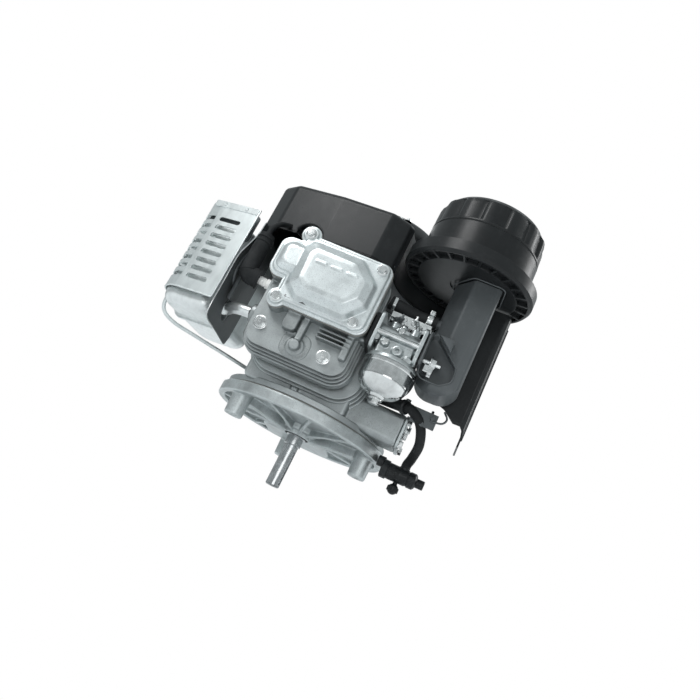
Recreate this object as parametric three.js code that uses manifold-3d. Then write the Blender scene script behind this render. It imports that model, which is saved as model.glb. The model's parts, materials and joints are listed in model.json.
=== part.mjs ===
// Small vertical-shaft petrol engine, one cylinder, overhead valves.
// Millimetres, +Z up. The origin is on the crankshaft axis, in the plane of the three mounting
// bosses' end faces. The cylinder points along -Y, the carburettor is on +X, the muffler on -X.
import * as THREE from 'three';
import { mergeVertices } from 'three/addons/utils/BufferGeometryUtils.js';
import Module from 'manifold-3d';

const wasm = await Module();
wasm.setup();

// ------------------------------------------------------------------ driving dimensions
const GAP = 0.3;              // clearance between faces that touch
const GASKET = 0.8;           // thickness of every flat gasket
const ROUNDNESS = 0.42;       // scales the number of sides of every round face

const FLANGE_R = 121;         // sump flange, outside radius
const FLANGE_TOP = 42;        // joint face between sump and crankcase
const FLANGE_T = 8;           // flange plate thickness
const RIM_W = 9;              // width of the rim that hangs from the flange
const RIM_DROP = 7;           // how far the rim hangs below the plate
const BOSS_CIRCLE_R = 101.6;  // 8 in bolt circle
const BOSS_R = 12;            // mounting boss
const BOSS_HOLE_R = 4;        // tap drill for 3/8-16
const BOSS_HOLE_DEPTH = 20;
const BOSS_ANGLES = [-135, -15, 105];
const HUB_R = 27;             // bearing hub under the sump
const HUB_Z = 20;             // underside of the seal housing
const RIB_W = 4;              // ribs under the sump

const SHAFT_R = 9.525;        // 3/4 in power take-off
const SHAFT_END = -52;        // lower end of the shaft
const SHAFT_STEP_Z = 7;       // shoulder between take-off and seal land
const SEAL_LAND_R = 11.5;
const JOURNAL_R = 14;         // lower main journal
const UPPER_JOURNAL_R = 12.5;
const KEY_W = 4.8;            // keyway width

const CYL_Z = 154;            // height of the cylinder axis
const BORE_R = 34;
const STROKE = 45;
const ROD_L = 75.8;           // crank pin to wrist pin
const PIN_TO_CROWN = 20;      // wrist pin to piston crown
const SKIRT_L = 36;           // piston length
const PIN_R = 8;              // wrist pin
const CRANK_PIN_R = 11;
const WEB_R = 34;             // crank webs
const BIG_END_R = 19;
const BIG_END_T = 18;
const WEB_T = 12;

const CAM_X = -50;            // camshaft, beside the crankshaft
const CAM_Y = 6;
const CAM_JOURNAL_R = 6.5;
const GEAR_Z = 62;            // underside of both timing gears
const TOOTH_H = 1.6;
const LOBE_R = 14;            // cam nose radius
const LOBE_T = 7;             // cam lobe width
const VALVE_DZ = 13;          // each valve's distance from the cylinder axis
const VALVE_X = -8;
const VALVE_R = 11.5;
const STEM_R = 2.8;
const PUSHROD_R = 2.5;
const ROCKER_X = -30;         // rocker shaft

const CASE_X0 = -91;          // crankcase walls
const CASE_X1 = 66;
const CASE_Y0 = -52;
const CASE_Y1 = 72;
const WALL = 5;               // crankcase wall

const HEAD_X0 = -92;          // cylinder head outline
const HEAD_X1 = 53;
const HEAD_BELOW = 85;        // head outline below and above the cylinder axis
const HEAD_ABOVE = 76;
const HEAD_DEPTH = 46.1;      // joint face to rocker cover face
const COVER_X = -20;          // rocker cover middle
const COVER_DZ = 23;          // rocker cover middle above the cylinder axis
const COVER_HALF_H = 49;
const COVER_DEPTH = 22;
const COVER_WALL = 5.5;       // rocker cover, outline to inner wall
const BOLT_COLUMN_R = 8.4;    // round each rocker cover bolt
const PORT_R = 8;
const EXHAUST_Y = -136;       // exhaust port, where it leaves the head
const EXHAUST_Z = 114;
const BOLT_SHANK = 42;        // head bolts, below the head
const BOLT_SINK = 15;         // head bolt seats, behind the rocker cover face
const PLUG_INNER_X = -24;     // spark plug tip
const PLUG_TILT = 15.7;       // degrees
const BOOT_REACH = 35;        // spark plug boot, seat to leg

const CARB_L = 60;            // carburettor between its two flanges
const CARB_Y = -141;
const CARB_Z = 150;
const CARB_BORE_R = 10;
const BOWL_R = 31;            // float bowl
const BOWL_H = 41;
const FLOAT_DROP = 8;         // degrees, float down on its stop

const DUCT_FRONT_W = 35;      // air duct, width of the front face
const DUCT_FRONT_Y = -152;
const DUCT_BACK_Y = -100;
const DUCT_Z0 = 107;
const HOSE_Y = -118;          // breather hose, where it meets the duct
const DUCT_WALL = 2.5;

const FILTER_X = 133;         // air filter centre
const FILTER_Y = -115;
const FILTER_Z = 262;         // underside of the filter base
const FILTER_R = 85.5;
const FILTER_BASE_H = 19;
const CAP_R = 72;
const CAP_H = 77;
const CAP_VANES = 12;

const HOUSING_Z0 = 242;       // blower housing
const HOUSING_Z1 = 315;
const HOUSING_WALL = 2.5;
const HOUSING_R = 128;        // round back part
const HOUSING_BEVEL = 8;
const FLYWHEEL_R = 78;
const FLYWHEEL_Z = 214;
const FLYWHEEL_H = 34;
const BLADE_COUNT = 12;
const RECOIL_R = 84;
const RECOIL_H = 36;

const GUARD_X = -157;         // muffler guard, front right edge
const GUARD_Y = -118;
const GUARD_TURN = -15;       // degrees about Z
const GUARD_W = 98;
const GUARD_Z0 = 118;
const GUARD_Z1 = 256;
const GUARD_T = 1.5;
const GUARD_DEPTH = 96;
const GUARD_BEND_R = 28;
const SLOT_COUNT = 8;
const MUFFLER_Z0 = 100;
const MUFFLER_Z1 = 236;
const MUFFLER_DEPTH = 140;
const PLATE_X = -136;         // dark side plate

// ------------------------------------------------------------------ derived places
const CRANK_R = STROKE / 2;
const CROWN_Y = CRANK_R + ROD_L + PIN_TO_CROWN;
const DECK = CROWN_Y + 0.7;
const HEAD_Y0 = DECK + GAP + GASKET + GAP;
const HEAD_Y1 = HEAD_Y0 + HEAD_DEPTH;
const COVER_Y0 = HEAD_Y1 + GAP + GASKET + GAP;
const CASE_Z0 = FLANGE_TOP + GAP + GASKET + GAP;
const CASE_TOP = CYL_Z + 48;
const VALVE_ZS = [CYL_Z + VALVE_DZ, CYL_Z - VALVE_DZ];
const COVER_Z = CYL_Z + COVER_DZ;
const ROCKER_FLOOR = HEAD_Y1 - 13.5;
const CARB_X0 = HEAD_X1 + 5.3;
const CARB_X1 = CARB_X0 + CARB_L;
const DUCT_X0 = CARB_X1 + 1.5;
const CHEST_X1 = Math.max(CASE_X1 + 64, FLANGE_R + 9);
const BEARING_Z = CASE_TOP - 5;
const HEAD_BOLTS = [[-72, CYL_Z - 51], [16, CYL_Z - 60]];
const HOSE_Z = CARB_Z + 51;   // breather hose
const CENTRES = Math.hypot(CAM_X, CAM_Y);
const CRANK_GEAR_R = CENTRES / 3 - 0.3;
const CAM_GEAR_R = 2 * CENTRES / 3 - 1.5;
const PIN_T = BIG_END_T + 2;  // crank pin between the webs

const rad = (degrees) => degrees * Math.PI / 180;

// ------------------------------------------------------------------ solids
const sidesOf = (count) => (count <= 6 ? count : Math.max(8, 2 * Math.round(count * ROUNDNESS / 2)));

function solid(geometry) {
  const bare = geometry.clone();
  bare.deleteAttribute('normal');
  bare.deleteAttribute('uv');
  const merged = mergeVertices(bare, 1e-4);
  const made = new wasm.Manifold(new wasm.Mesh({
    numProp: 3,
    vertProperties: Float32Array.from(merged.attributes.position.array),
    triVerts: Uint32Array.from(merged.index.array),
  }));
  return made;
}

function geometryOf(shape) {
  const mesh = shape.getMesh();
  const geometry = new THREE.BufferGeometry();
  geometry.setAttribute('position', new THREE.BufferAttribute(mesh.vertProperties, 3));
  geometry.setIndex(new THREE.BufferAttribute(mesh.triVerts, 1));
  geometry.computeVertexNormals();
  return geometry;
}

const join = (...parts) => parts.flat(2).reduce((whole, part) => whole.add(part));
const cut = (body, ...tools) => tools.flat(2).reduce((whole, tool) => whole.subtract(tool), body);

function block(x0, x1, y0, y1, z0, z1) {
  const geometry = new THREE.BoxGeometry(x1 - x0, y1 - y0, z1 - z0);
  geometry.translate((x0 + x1) / 2, (y0 + y1) / 2, (z0 + z1) / 2);
  return solid(geometry);
}

// A round bar from (x, y, z) along +X, +Y or +Z; the far radius may differ.
function bar(axis, radius, length, x, y, z, segments = 24, farRadius = radius) {
  const geometry = new THREE.CylinderGeometry(farRadius, radius, length, sidesOf(segments));
  geometry.translate(0, length / 2, 0);
  if (axis === 'z') geometry.rotateX(Math.PI / 2);
  if (axis === 'x') geometry.rotateZ(-Math.PI / 2);
  geometry.translate(x, y, z);
  return solid(geometry);
}

// A round bar between two points.
function strut(from, to, radius, segments = 16) {
  const a = new THREE.Vector3(...from);
  const b = new THREE.Vector3(...to);
  const way = b.clone().sub(a);
  const geometry = new THREE.CylinderGeometry(radius, radius, way.length(), sidesOf(segments));
  geometry.translate(0, way.length() / 2, 0);
  geometry.applyQuaternion(new THREE.Quaternion().setFromUnitVectors(
    new THREE.Vector3(0, 1, 0), way.clone().normalize()));
  geometry.translate(a.x, a.y, a.z);
  return solid(geometry);
}

// radius of a many-sided hole whose flats still clear a shaft turning in it
function boreFor(shaft, segments) {
  return (shaft + GAP / 2) / Math.cos(Math.PI / sidesOf(segments));
}

function ring(axis, outer, inner, length, x, y, z, segments = 32) {
  const start = [x, y, z];
  start['xyz'.indexOf(axis)] -= 1;
  return cut(bar(axis, outer, length, x, y, z, segments), bar(axis, inner, length + 2, ...start, segments));
}

function roundedRect(x0, x1, y0, y1, radius) {
  const shape = new THREE.Shape();
  shape.absarc(x1 - radius, y1 - radius, radius, 0, Math.PI / 2);
  shape.absarc(x0 + radius, y1 - radius, radius, Math.PI / 2, Math.PI);
  shape.absarc(x0 + radius, y0 + radius, radius, Math.PI, 1.5 * Math.PI);
  shape.absarc(x1 - radius, y0 + radius, radius, 1.5 * Math.PI, 2 * Math.PI);
  return shape;
}

function outline(points) {
  return new THREE.Shape(points.map(([x, y]) => new THREE.Vector2(x, y)));
}

function extrude(shape, depth, curveSegments = 2) {
  return new THREE.ExtrudeGeometry(shape, { depth, bevelEnabled: false, curveSegments });
}

// Outline in X and Y, between two heights.
function prismZ(shape, z0, z1, curveSegments = 2) {
  return solid(extrude(shape, z1 - z0, curveSegments).translate(0, 0, z0));
}

// Outline in X and Z, between two places along Y.
function prismY(shape, y0, y1, curveSegments = 2) {
  return solid(extrude(shape, y1 - y0, curveSegments).rotateX(Math.PI / 2).translate(0, y1, 0));
}

// Outline in Y and Z, between two places along X.
function prismX(shape, x0, x1, curveSegments = 2) {
  const turn = new THREE.Matrix4().set(0, 0, 1, x0, 1, 0, 0, 0, 0, 1, 0, 0, 0, 0, 0, 1);
  return solid(extrude(shape, x1 - x0, curveSegments).applyMatrix4(turn));
}

// A solid of revolution about Z from [radius, height] points that start and end on the axis.
function turned(profile, segments = 32) {
  const points = profile.map(([r, z]) => new THREE.Vector2(r, z));
  return solid(new THREE.LatheGeometry(points, sidesOf(segments)).rotateX(Math.PI / 2));
}

function tube(points, radius, sides = 10, steps = 20) {
  const circle = new THREE.Shape().absarc(0, 0, radius, 0, 2 * Math.PI);
  const path = new THREE.CatmullRomCurve3(points.map((p) => new THREE.Vector3(...p)));
  return new THREE.ExtrudeGeometry(circle,
    { steps, curveSegments: sides / 2, bevelEnabled: false, extrudePath: path });
}

function hexBolt(headR, headH, shankR, shankL) {
  const washer = bar('z', headR * 1.25, 1.5, 0, 0, 0, 20);
  const head = bar('z', headR, headH, 0, 0, 1.4, 6);
  return join(washer, head, bar('z', shankR, shankL + 0.1, 0, 0, -shankL, 16));
}

// ------------------------------------------------------------------ materials and nodes
function finish(color, roughness, metalness) {
  return () => new THREE.MeshStandardMaterial({ color, roughness, metalness });
}

const castAluminium = finish(0xb9bdbe, 0.55, 0.8);
const machinedSteel = finish(0xc4c7ca, 0.3, 1);
const darkSteel = finish(0x3c4143, 0.5, 0.7);
const zincPlate = finish(0xd4d8d8, 0.35, 0.9);
const blackPlastic = finish(0x1c1f20, 0.45, 0);
const greyPlastic = finish(0x5a6062, 0.5, 0);
const rubber = finish(0x17191a, 0.8, 0);
const castIron = finish(0x4a4c4e, 0.6, 0.8);
const gasketPaper = finish(0x6f6a60, 0.9, 0);
const brass = finish(0xc2a45a, 0.35, 1);
const brightPress = finish(0xe2e6e6, 0.25, 0.95);
const ceramic = finish(0xf0f0ec, 0.3, 0);
const filterPaper = finish(0xcfc7a8, 0.95, 0);

const engine = new THREE.Group();

function add(name, shape, material, parent = engine) {
  const geometry = shape instanceof THREE.BufferGeometry ? shape : geometryOf(shape);
  const mesh = new THREE.Mesh(geometry, material());
  mesh.name = name;
  parent.add(mesh);
  return mesh;
}

function groupAt(x, y, z, parent = engine) {
  const group = new THREE.Group();
  group.position.set(x, y, z);
  parent.add(group);
  return group;
}

// Turns a group so that its own +Z points along -Y, for bolts in the front faces.
function facingFront(x, y, z) {
  const group = groupAt(x, y, z);
  group.rotation.x = Math.PI / 2;
  return group;
}

// ------------------------------------------------------------------ sump and mounting flange
function radialRib(angle, r0, r1, width, z0, z1) {
  const geometry = new THREE.BoxGeometry(r1 - r0, width, z1 - z0);
  geometry.translate((r0 + r1) / 2, 0, (z0 + z1) / 2).rotateZ(rad(angle));
  return solid(geometry);
}

function sumpFlange() {
  const plateZ = FLANGE_TOP - FLANGE_T;
  const rimZ = plateZ - RIM_DROP;
  const parts = [
    bar('z', FLANGE_R, FLANGE_T, 0, 0, plateZ, 48),
    ring('z', FLANGE_R, FLANGE_R - RIM_W, FLANGE_T + RIM_DROP, 0, 0, rimZ, 48),
    bar('z', HUB_R, FLANGE_TOP - HUB_Z - 6, 0, 0, HUB_Z + 6, 32),
    bar('z', JOURNAL_R + 7, 7, 0, 0, HUB_Z, 32),
    bar('z', 11, 8, CAM_X, CAM_Y, FLANGE_TOP, 20),
    block(-58, 40, 18, 92, HUB_Z + 4, FLANGE_TOP - 1),
  ];
  for (const angle of BOSS_ANGLES) {
    const x = BOSS_CIRCLE_R * Math.cos(rad(angle));
    const y = BOSS_CIRCLE_R * Math.sin(rad(angle));
    parts.push(bar('z', BOSS_R, FLANGE_TOP, x, y, 0, 20));
    parts.push(radialRib(angle, HUB_R - 3, BOSS_CIRCLE_R - BOSS_HOLE_R - 3, 7, 18, FLANGE_TOP - 1));
  }
  for (let angle = 15; angle < 360; angle += 30) {
    parts.push(radialRib(angle, HUB_R - 3, FLANGE_R - 5, RIB_W, rimZ + 1, FLANGE_TOP - 1));
  }
  const holes = BOSS_ANGLES.map((angle) => bar('z', BOSS_HOLE_R, BOSS_HOLE_DEPTH + 1,
    BOSS_CIRCLE_R * Math.cos(rad(angle)), BOSS_CIRCLE_R * Math.sin(rad(angle)), -1, 16));
  return cut(join(parts), holes,
    bar('z', JOURNAL_R + 3.3, 7, 0, 0, HUB_Z - 0.5, 32),
    bar('z', JOURNAL_R + 0.5, FLANGE_TOP, 0, 0, HUB_Z, 32),
    bar('z', boreFor(CAM_JOURNAL_R, 16), 10, CAM_X, CAM_Y, FLANGE_TOP + 2, 16));
}

add('sump_flange', sumpFlange(), castAluminium);
add('lower_oil_seal', ring('z', JOURNAL_R + 3, boreFor(JOURNAL_R, 32), 6, 0, 0, HUB_Z + 0.2), rubber);

// ------------------------------------------------------------------ crankcase and barrel

function boltHoles(radius) {
  const length = BOLT_SHANK + BOLT_SINK + 2;
  return HEAD_BOLTS.map(([x, z]) => bar('y', radius, length, x, -HEAD_Y1 - 1, z, 12));
}

function crankcase() {
  const fin = roundedRect(HEAD_X0 + 4, HEAD_X1 + 21, CYL_Z - 100, CYL_Z + 54, 40);
  const parts = [
    bar('z', FLANGE_R - 5, 8, 0, 0, CASE_Z0, 48),
    prismZ(roundedRect(CASE_X0, CASE_X1, CASE_Y0, CASE_Y1, 22), CASE_Z0, CASE_TOP),
    bar('z', 34, 12, 0, 0, CASE_TOP - 4, 32),
    block(HEAD_X0 + 14, HEAD_X1 + 7, -DECK + 19, CASE_Y0 + 5, CASE_Z0 + 4, CYL_Z - 60),
    bar('y', BORE_R + 9, DECK + CASE_Y0 + 4, 0, -DECK, CYL_Z, 32),
    block(CAM_X - 11, CAM_X + 11, -DECK, CASE_Y0 + 5, CYL_Z - VALVE_DZ - 11, CYL_Z + VALVE_DZ + 11),
    prismY(roundedRect(HEAD_X0 + 8, HEAD_X1 - 1, CYL_Z - 72, CYL_Z + 56, 18), -DECK, -DECK + 12),
    prismX(roundedRect(-85, -35, CASE_Z0 + 3, CASE_Z0 + 45, 8), CASE_X1 - 5, CHEST_X1),
  ];
  for (let y = -DECK + 18; y < CASE_Y0 - 6; y += 9) {
    parts.push(prismY(fin, y, y + 2.8, 2));
  }
  const cavity = prismZ(roundedRect(CASE_X0 + WALL, CASE_X1 - WALL, CASE_Y0 + WALL, CASE_Y1 - WALL, 17),
    CASE_Z0 - 1, CASE_TOP - 8);
  const keptBoss = cut(bar('z', 12, 11, CAM_X, CAM_Y, CASE_TOP - 18, 20),
    bar('z', boreFor(CAM_JOURNAL_R, 16), 8, CAM_X, CAM_Y, CASE_TOP - 19, 16));
  const body = cut(join(parts), cavity,
    bar('y', BORE_R, DECK - 40, 0, -DECK - 1, CYL_Z, 48),
    bar('z', 20, 20, 0, 0, CASE_TOP - 12, 32),
    bar('z', 26.3, 14, 0, 0, BEARING_Z, 32),
    VALVE_ZS.map((z) => bar('y', 6.3, DECK - 40, CAM_X, -DECK - 1, z, 16)),
    boltHoles(4.4),
    prismX(roundedRect(-80, -40, CASE_Z0 + 8, CASE_Z0 + 40, 5), CASE_X1 - 8, CHEST_X1 + 1));
  return body.add(keptBoss);
}

add('crankcase', crankcase(), castAluminium);
add('upper_bearing', ring('z', 26, boreFor(UPPER_JOURNAL_R, 32), 11.4, 0, 0, BEARING_Z + GAP),
  machinedSteel);
add('side_chest_cover', prismX(roundedRect(-85, -35, CASE_Z0 + 3, CASE_Z0 + 45, 8),
  CHEST_X1 + GAP, CHEST_X1 + 4), castAluminium);

// ------------------------------------------------------------------ cylinder head
// The rocker cover's outline: a rounded block, a lobe at the pushrod side, and two bolt ears.
const COVER_BOLTS = [[-41, 48], [58, 38], [-43, -43], [54, -37]].map(([x, z]) => [COVER_X + x,
  COVER_Z + z]);

function coverBlock(inset, y0, y1) {
  const main = roundedRect(COVER_X - 48 + inset, COVER_X + 72 - inset,
    COVER_Z - COVER_HALF_H + inset, COVER_Z + COVER_HALF_H - inset, 14 - inset / 2);
  const lobe = roundedRect(COVER_X - 71 + inset, COVER_X - 20,
    COVER_Z - 18 + inset, COVER_Z + 37 - inset, 12 - inset / 2);
  const parts = [prismY(main, y0, y1), prismY(lobe, y0, y1)];
  if (inset < 4) {
    for (const index of [0, 2]) {
      const [x, z] = COVER_BOLTS[index];
      parts.push(bar('y', 12.5 - inset, y1 - y0, x, y0, z, 24));
    }
  }
  return join(parts);
}

// The room inside the head and cover, with a solid column left round each cover bolt.
function coverRoom(y0, y1) {
  return cut(coverBlock(COVER_WALL, y0, y1),
    COVER_BOLTS.map(([x, z]) => bar('y', BOLT_COLUMN_R, y1 - y0 + 2, x, y0 - 1, z, 16)));
}

// The spark plug leans from the left side into the combustion chamber.
const onPlugAxis = (x) => [x, -HEAD_Y0 - 5 - (PLUG_INNER_X - x) * Math.tan(rad(PLUG_TILT)), CYL_Z];

function cylinderHead() {
  const full = roundedRect(HEAD_X0, HEAD_X1, CYL_Z - HEAD_BELOW, CYL_Z + HEAD_ABOVE, 26);
  const rocker = HEAD_Y1 - 16;
  const parts = [
    prismY(full, -HEAD_Y0 - 13, -HEAD_Y0),
    prismY(full, -HEAD_Y0 - 19.5, -HEAD_Y0 - 17),
    prismY(full, -HEAD_Y0 - 26, -HEAD_Y0 - 23.5),
    prismY(roundedRect(HEAD_X0 + 14, HEAD_X1 - 8, CYL_Z - 70, CYL_Z + 60, 14), -rocker - 1, -HEAD_Y0 - 12),
    coverBlock(0, -HEAD_Y1, -rocker),
    block(CARB_X0 - 16, HEAD_X1, CARB_Y - 15, CARB_Y + 12, CARB_Z - 20, CARB_Z + 20),
    bar('x', 13, 26, HEAD_X0, EXHAUST_Y, EXHAUST_Z, 24),
    bar('x', 12, 20, HEAD_X0 + 6, onPlugAxis(HEAD_X0)[1] + 3, CYL_Z, 20),
    bar('y', 12, 12, COVER_X, -HEAD_Y1 + 4, CYL_Z - 62, 24),
    block(COVER_X - 4, COVER_X + 4, -HEAD_Y1 + 6, -rocker + 2, CYL_Z - 60, CYL_Z - 24),
  ];
  for (const x of [20, 27, 34]) {
    parts.push(block(x, x + 2.5, -HEAD_Y1 + 3, -rocker + 2, CYL_Z - 42, CYL_Z - 24));
  }
  const pedestal = join(block(ROCKER_X - 5, ROCKER_X + 5, -HEAD_Y1 - 9, -ROCKER_FLOOR + 1,
    CYL_Z - VALVE_DZ + 5, CYL_Z + VALVE_DZ - 5),
    bar('z', 3, 2 * VALVE_DZ + 11, ROCKER_X, -HEAD_Y1 - 5, CYL_Z - VALVE_DZ - 5.5, 14));
  const [inletZ, exhaustZ] = VALVE_ZS;
  const portY = -HEAD_Y0 - 21.6;
  const holes = [
    bar('y', BORE_R - 1, 10, 0, -HEAD_Y0 - 9, CYL_Z, 40),
    coverRoom(-HEAD_Y1 - 1, -ROCKER_FLOOR),
    strut([VALVE_X, portY, inletZ - 2], [HEAD_X1 + 6, CARB_Y, CARB_Z - 2], PORT_R, 20),
    strut([VALVE_X, portY + 2, exhaustZ - 2], [HEAD_X0 - 6, EXHAUST_Y, EXHAUST_Z - 1], PORT_R - 1, 20),
    strut(onPlugAxis(PLUG_INNER_X), onPlugAxis(HEAD_X0 - 8), 7.4, 20),
    strut(onPlugAxis(HEAD_X0 + 5), onPlugAxis(HEAD_X0 - 16), 13.5, 20),
    boltHoles(4.4),
    COVER_BOLTS.map(([x, z]) => bar('y', 3.4, 14, x, -HEAD_Y1 - 1, z, 12)),
  ];
  for (const z of VALVE_ZS) {
    holes.push(bar('y', VALVE_R - 2, 16, VALVE_X, -HEAD_Y0 - 22, z, 24));
    holes.push(bar('y', STEM_R + 0.4, 40, VALVE_X, -HEAD_Y1, z, 12));
    holes.push(bar('y', 4.5, 50, CAM_X, -HEAD_Y1, z, 16));
  }
  return join(cut(join(parts), holes), pedestal);
}

add('cylinder_head', cylinderHead(), castAluminium);
add('head_gasket', cut(
  prismY(roundedRect(HEAD_X0 + 8, HEAD_X1 - 1, CYL_Z - 72, CYL_Z + 56, 18), -DECK - GAP - GASKET,
    -DECK - GAP),
  bar('y', BORE_R + 1, 6, 0, -DECK - 3, CYL_Z, 40),
  VALVE_ZS.map((z) => bar('y', 7, 6, CAM_X, -DECK - 3, z, 16)),
  boltHoles(4.6)), gasketPaper);

HEAD_BOLTS.forEach(([x, z], index) => {
  const bolt = facingFront(x, -HEAD_Y1 + BOLT_SINK - GAP, z);
  add(`head_bolt_${index + 1}`, hexBolt(6.5, 6, 4, BOLT_SHANK), machinedSteel, bolt);
});

// ------------------------------------------------------------------ rocker cover
function rockerCover() {
  const top = COVER_Y0 + COVER_DEPTH;
  const panel = (inset, y0, y1) => prismY(roundedRect(COVER_X - 42 + inset, COVER_X + 48 - inset,
    COVER_Z - 44 + inset, COVER_Z + 26 - inset, 8), y0, y1);
  const parts = [
    coverBlock(0, -COVER_Y0 - 4, -COVER_Y0),
    coverBlock(3, -COVER_Y0 - 16, -COVER_Y0 - 3),
    panel(0, -top + 2.5, -COVER_Y0 - 14),
    panel(3, -top, -COVER_Y0 - 14),
  ];
  return cut(join(parts), coverRoom(-COVER_Y0 - 13.5, -COVER_Y0 + 1),
    panel(4, -top + 3, -COVER_Y0 - 13),
    COVER_BOLTS.map(([x, z]) => bar('y', 3.4, 20, x, -COVER_Y0 - 17, z, 12)),
    COVER_BOLTS.map(([x, z]) => bar('y', 6.9, 20, x, -COVER_Y0 - 24.2, z, 20)));
}

add('rocker_cover', rockerCover(), castAluminium);
COVER_BOLTS.forEach(([x, z], index) => {
  const bolt = facingFront(x, -COVER_Y0 - 4.2 - GAP, z);
  add(`rocker_cover_bolt_${index + 1}`, hexBolt(5, 5, 3, 14), zincPlate, bolt);
});

// ------------------------------------------------------------------ valve gear
// Both valves share one layout; the upper one is the inlet.
['inlet', 'exhaust'].forEach((side, index) => {
  const z = VALVE_ZS[index];
  const tappetY = CAM_Y - LOBE_R - 0.6;
  const tipY = -HEAD_Y1 - 3.5;
  const stem = groupAt(CAM_X, 0, z);
  add(`${side}_pushrod`, join(
    bar('y', 7, 3, 0, tappetY - 3, 0, 20),
    bar('y', 5.5, 34, 0, tappetY - 36, 0, 16),
    bar('y', PUSHROD_R, -tipY + tappetY - 33, 0, tipY, 0, 10)), machinedSteel, stem);

  const pivot = groupAt(ROCKER_X, -HEAD_Y1 - 5, z);
  const reachIn = CAM_X - ROCKER_X;
  const reachOut = VALVE_X - ROCKER_X;
  add(`${side}_rocker`, cut(join(
    bar('z', 6.5, 8.6, 0, 0, -4.3, 20),
    block(reachIn - 4, 0, -4, 0.9, -4, 4),
    block(0, reachOut + 3.5, -4, 1.5, -4, 4)),
  bar('z', 3.3, 12, 0, 0, -6, 16)), castIron, pivot);

  const seatY = -HEAD_Y0 - 9;
  const valve = groupAt(VALVE_X, 0, z);
  add(`${side}_valve`, join(
    bar('y', VALVE_R, 2.4, 0, seatY + GAP, 0, 24),
    bar('y', STEM_R, HEAD_Y1 + 2.5 + seatY + 1, 0, -HEAD_Y1 - 2.5, 0, 12),
    bar('y', 6.4, 2, 0, -HEAD_Y1 - 0.4, 0, 20)), machinedSteel, valve);
  add(`${side}_valve_spring`, ring('y', 6.2, 4.3, HEAD_Y1 - ROCKER_FLOOR - 2.4, 0, -HEAD_Y1 + 2, 0, 20),
    machinedSteel, valve);
});

// ------------------------------------------------------------------ crankshaft and what turns with it
function gear(teeth, radius, bore) {
  const points = [];
  const step = 2 * Math.PI / teeth;
  for (let tooth = 0; tooth < teeth; tooth += 1) {
    for (const [part, r] of [[0.05, radius], [0.4, radius], [0.55, radius - TOOTH_H], [0.9,
      radius - TOOTH_H]]) {
      points.push([r * Math.cos((tooth + part) * step), r * Math.sin((tooth + part) * step)]);
    }
  }
  return cut(prismZ(outline(points), GEAR_Z, GEAR_Z + 9), bar('z', bore, 11, 0, 0, GEAR_Z - 1, 24));
}

function crankshaft() {
  const low = CYL_Z - PIN_T / 2;
  const high = CYL_Z + PIN_T / 2;
  const body = join(
    turned([[0, SHAFT_END], [SHAFT_R - 1.5, SHAFT_END], [SHAFT_R, SHAFT_END + 1.5], [SHAFT_R, SHAFT_STEP_Z],
      [SEAL_LAND_R, SHAFT_STEP_Z + 1], [SEAL_LAND_R, HUB_Z - 1], [JOURNAL_R, HUB_Z], [JOURNAL_R, low],
        [0, low]]),
    bar('z', WEB_R, WEB_T, 0, 0, low - WEB_T, 40),
    gear(12, CRANK_GEAR_R, JOURNAL_R - 0.5),
    bar('z', CRANK_PIN_R, PIN_T + 2, 0, -CRANK_R, low - 1, 24),
    bar('z', WEB_R, WEB_T, 0, 0, high, 40),
    turned([[0, high + 1], [UPPER_JOURNAL_R, high + 1], [UPPER_JOURNAL_R, FLYWHEEL_Z - 2],
      [10, FLYWHEEL_Z + FLYWHEEL_H], [6, FLYWHEEL_Z + FLYWHEEL_H], [6, FLYWHEEL_Z + FLYWHEEL_H + 22],
      [0, FLYWHEEL_Z + FLYWHEEL_H + 22]]));
  const keyway = block(SHAFT_R - 3, SHAFT_R + 4, -KEY_W / 2, KEY_W / 2, SHAFT_END + 3, SHAFT_STEP_Z - 8);
  return cut(body, keyway.rotate([0, 0, -20]),
    bar('z', 5.3, WEB_T + 1, 0, -CRANK_R / 2, high + 1, 16));
}

add('crankshaft', crankshaft(), machinedSteel);
add('web_plug', bar('z', 4.5, 9, 0, 0, 0, 16), machinedSteel,
  groupAt(0, -CRANK_R / 2, CYL_Z + PIN_T / 2 + 2));

function camshaft() {
  const shaft = bar('z', CAM_JOURNAL_R, CASE_TOP - 16 - FLANGE_TOP - 3, 0, 0, FLANGE_TOP + 3, 16);
  const wheel = gear(24, CAM_GEAR_R, 6.3);
  const lobe = (z, turn) => join(bar('z', 10, LOBE_T, 0, 0, z - LOBE_T / 2, 20),
    bar('z', 7, LOBE_T, (LOBE_R - 7) * Math.cos(turn), (LOBE_R - 7) * Math.sin(turn), z - LOBE_T / 2, 16));
  return join(shaft, wheel, lobe(VALVE_ZS[0], rad(60)), lobe(VALVE_ZS[1], rad(165)));
}

add('camshaft', camshaft(), castIron, groupAt(CAM_X, CAM_Y, 0));

function connectingRod() {
  const tip = ROD_L - PIN_R - 0.7;
  return cut(join(
    bar('z', BIG_END_R, BIG_END_T, 0, 0, -BIG_END_T / 2, 28),
    block(-7, 7, -tip + 7, 0, -6, 6),
    bar('z', 7, 12, 0, -tip + 7, -6, 20)),
  bar('z', boreFor(CRANK_PIN_R, 24), BIG_END_T + 2, 0, 0, -BIG_END_T / 2 - 1, 24),
  block(-3.5, 3.5, -tip + 12, -BIG_END_R - 4, 2, 9),
  block(-3.5, 3.5, -tip + 12, -BIG_END_R - 4, -9, -2));
}

add('connecting_rod', connectingRod(), castAluminium, groupAt(0, -CRANK_R, CYL_Z));

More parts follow.
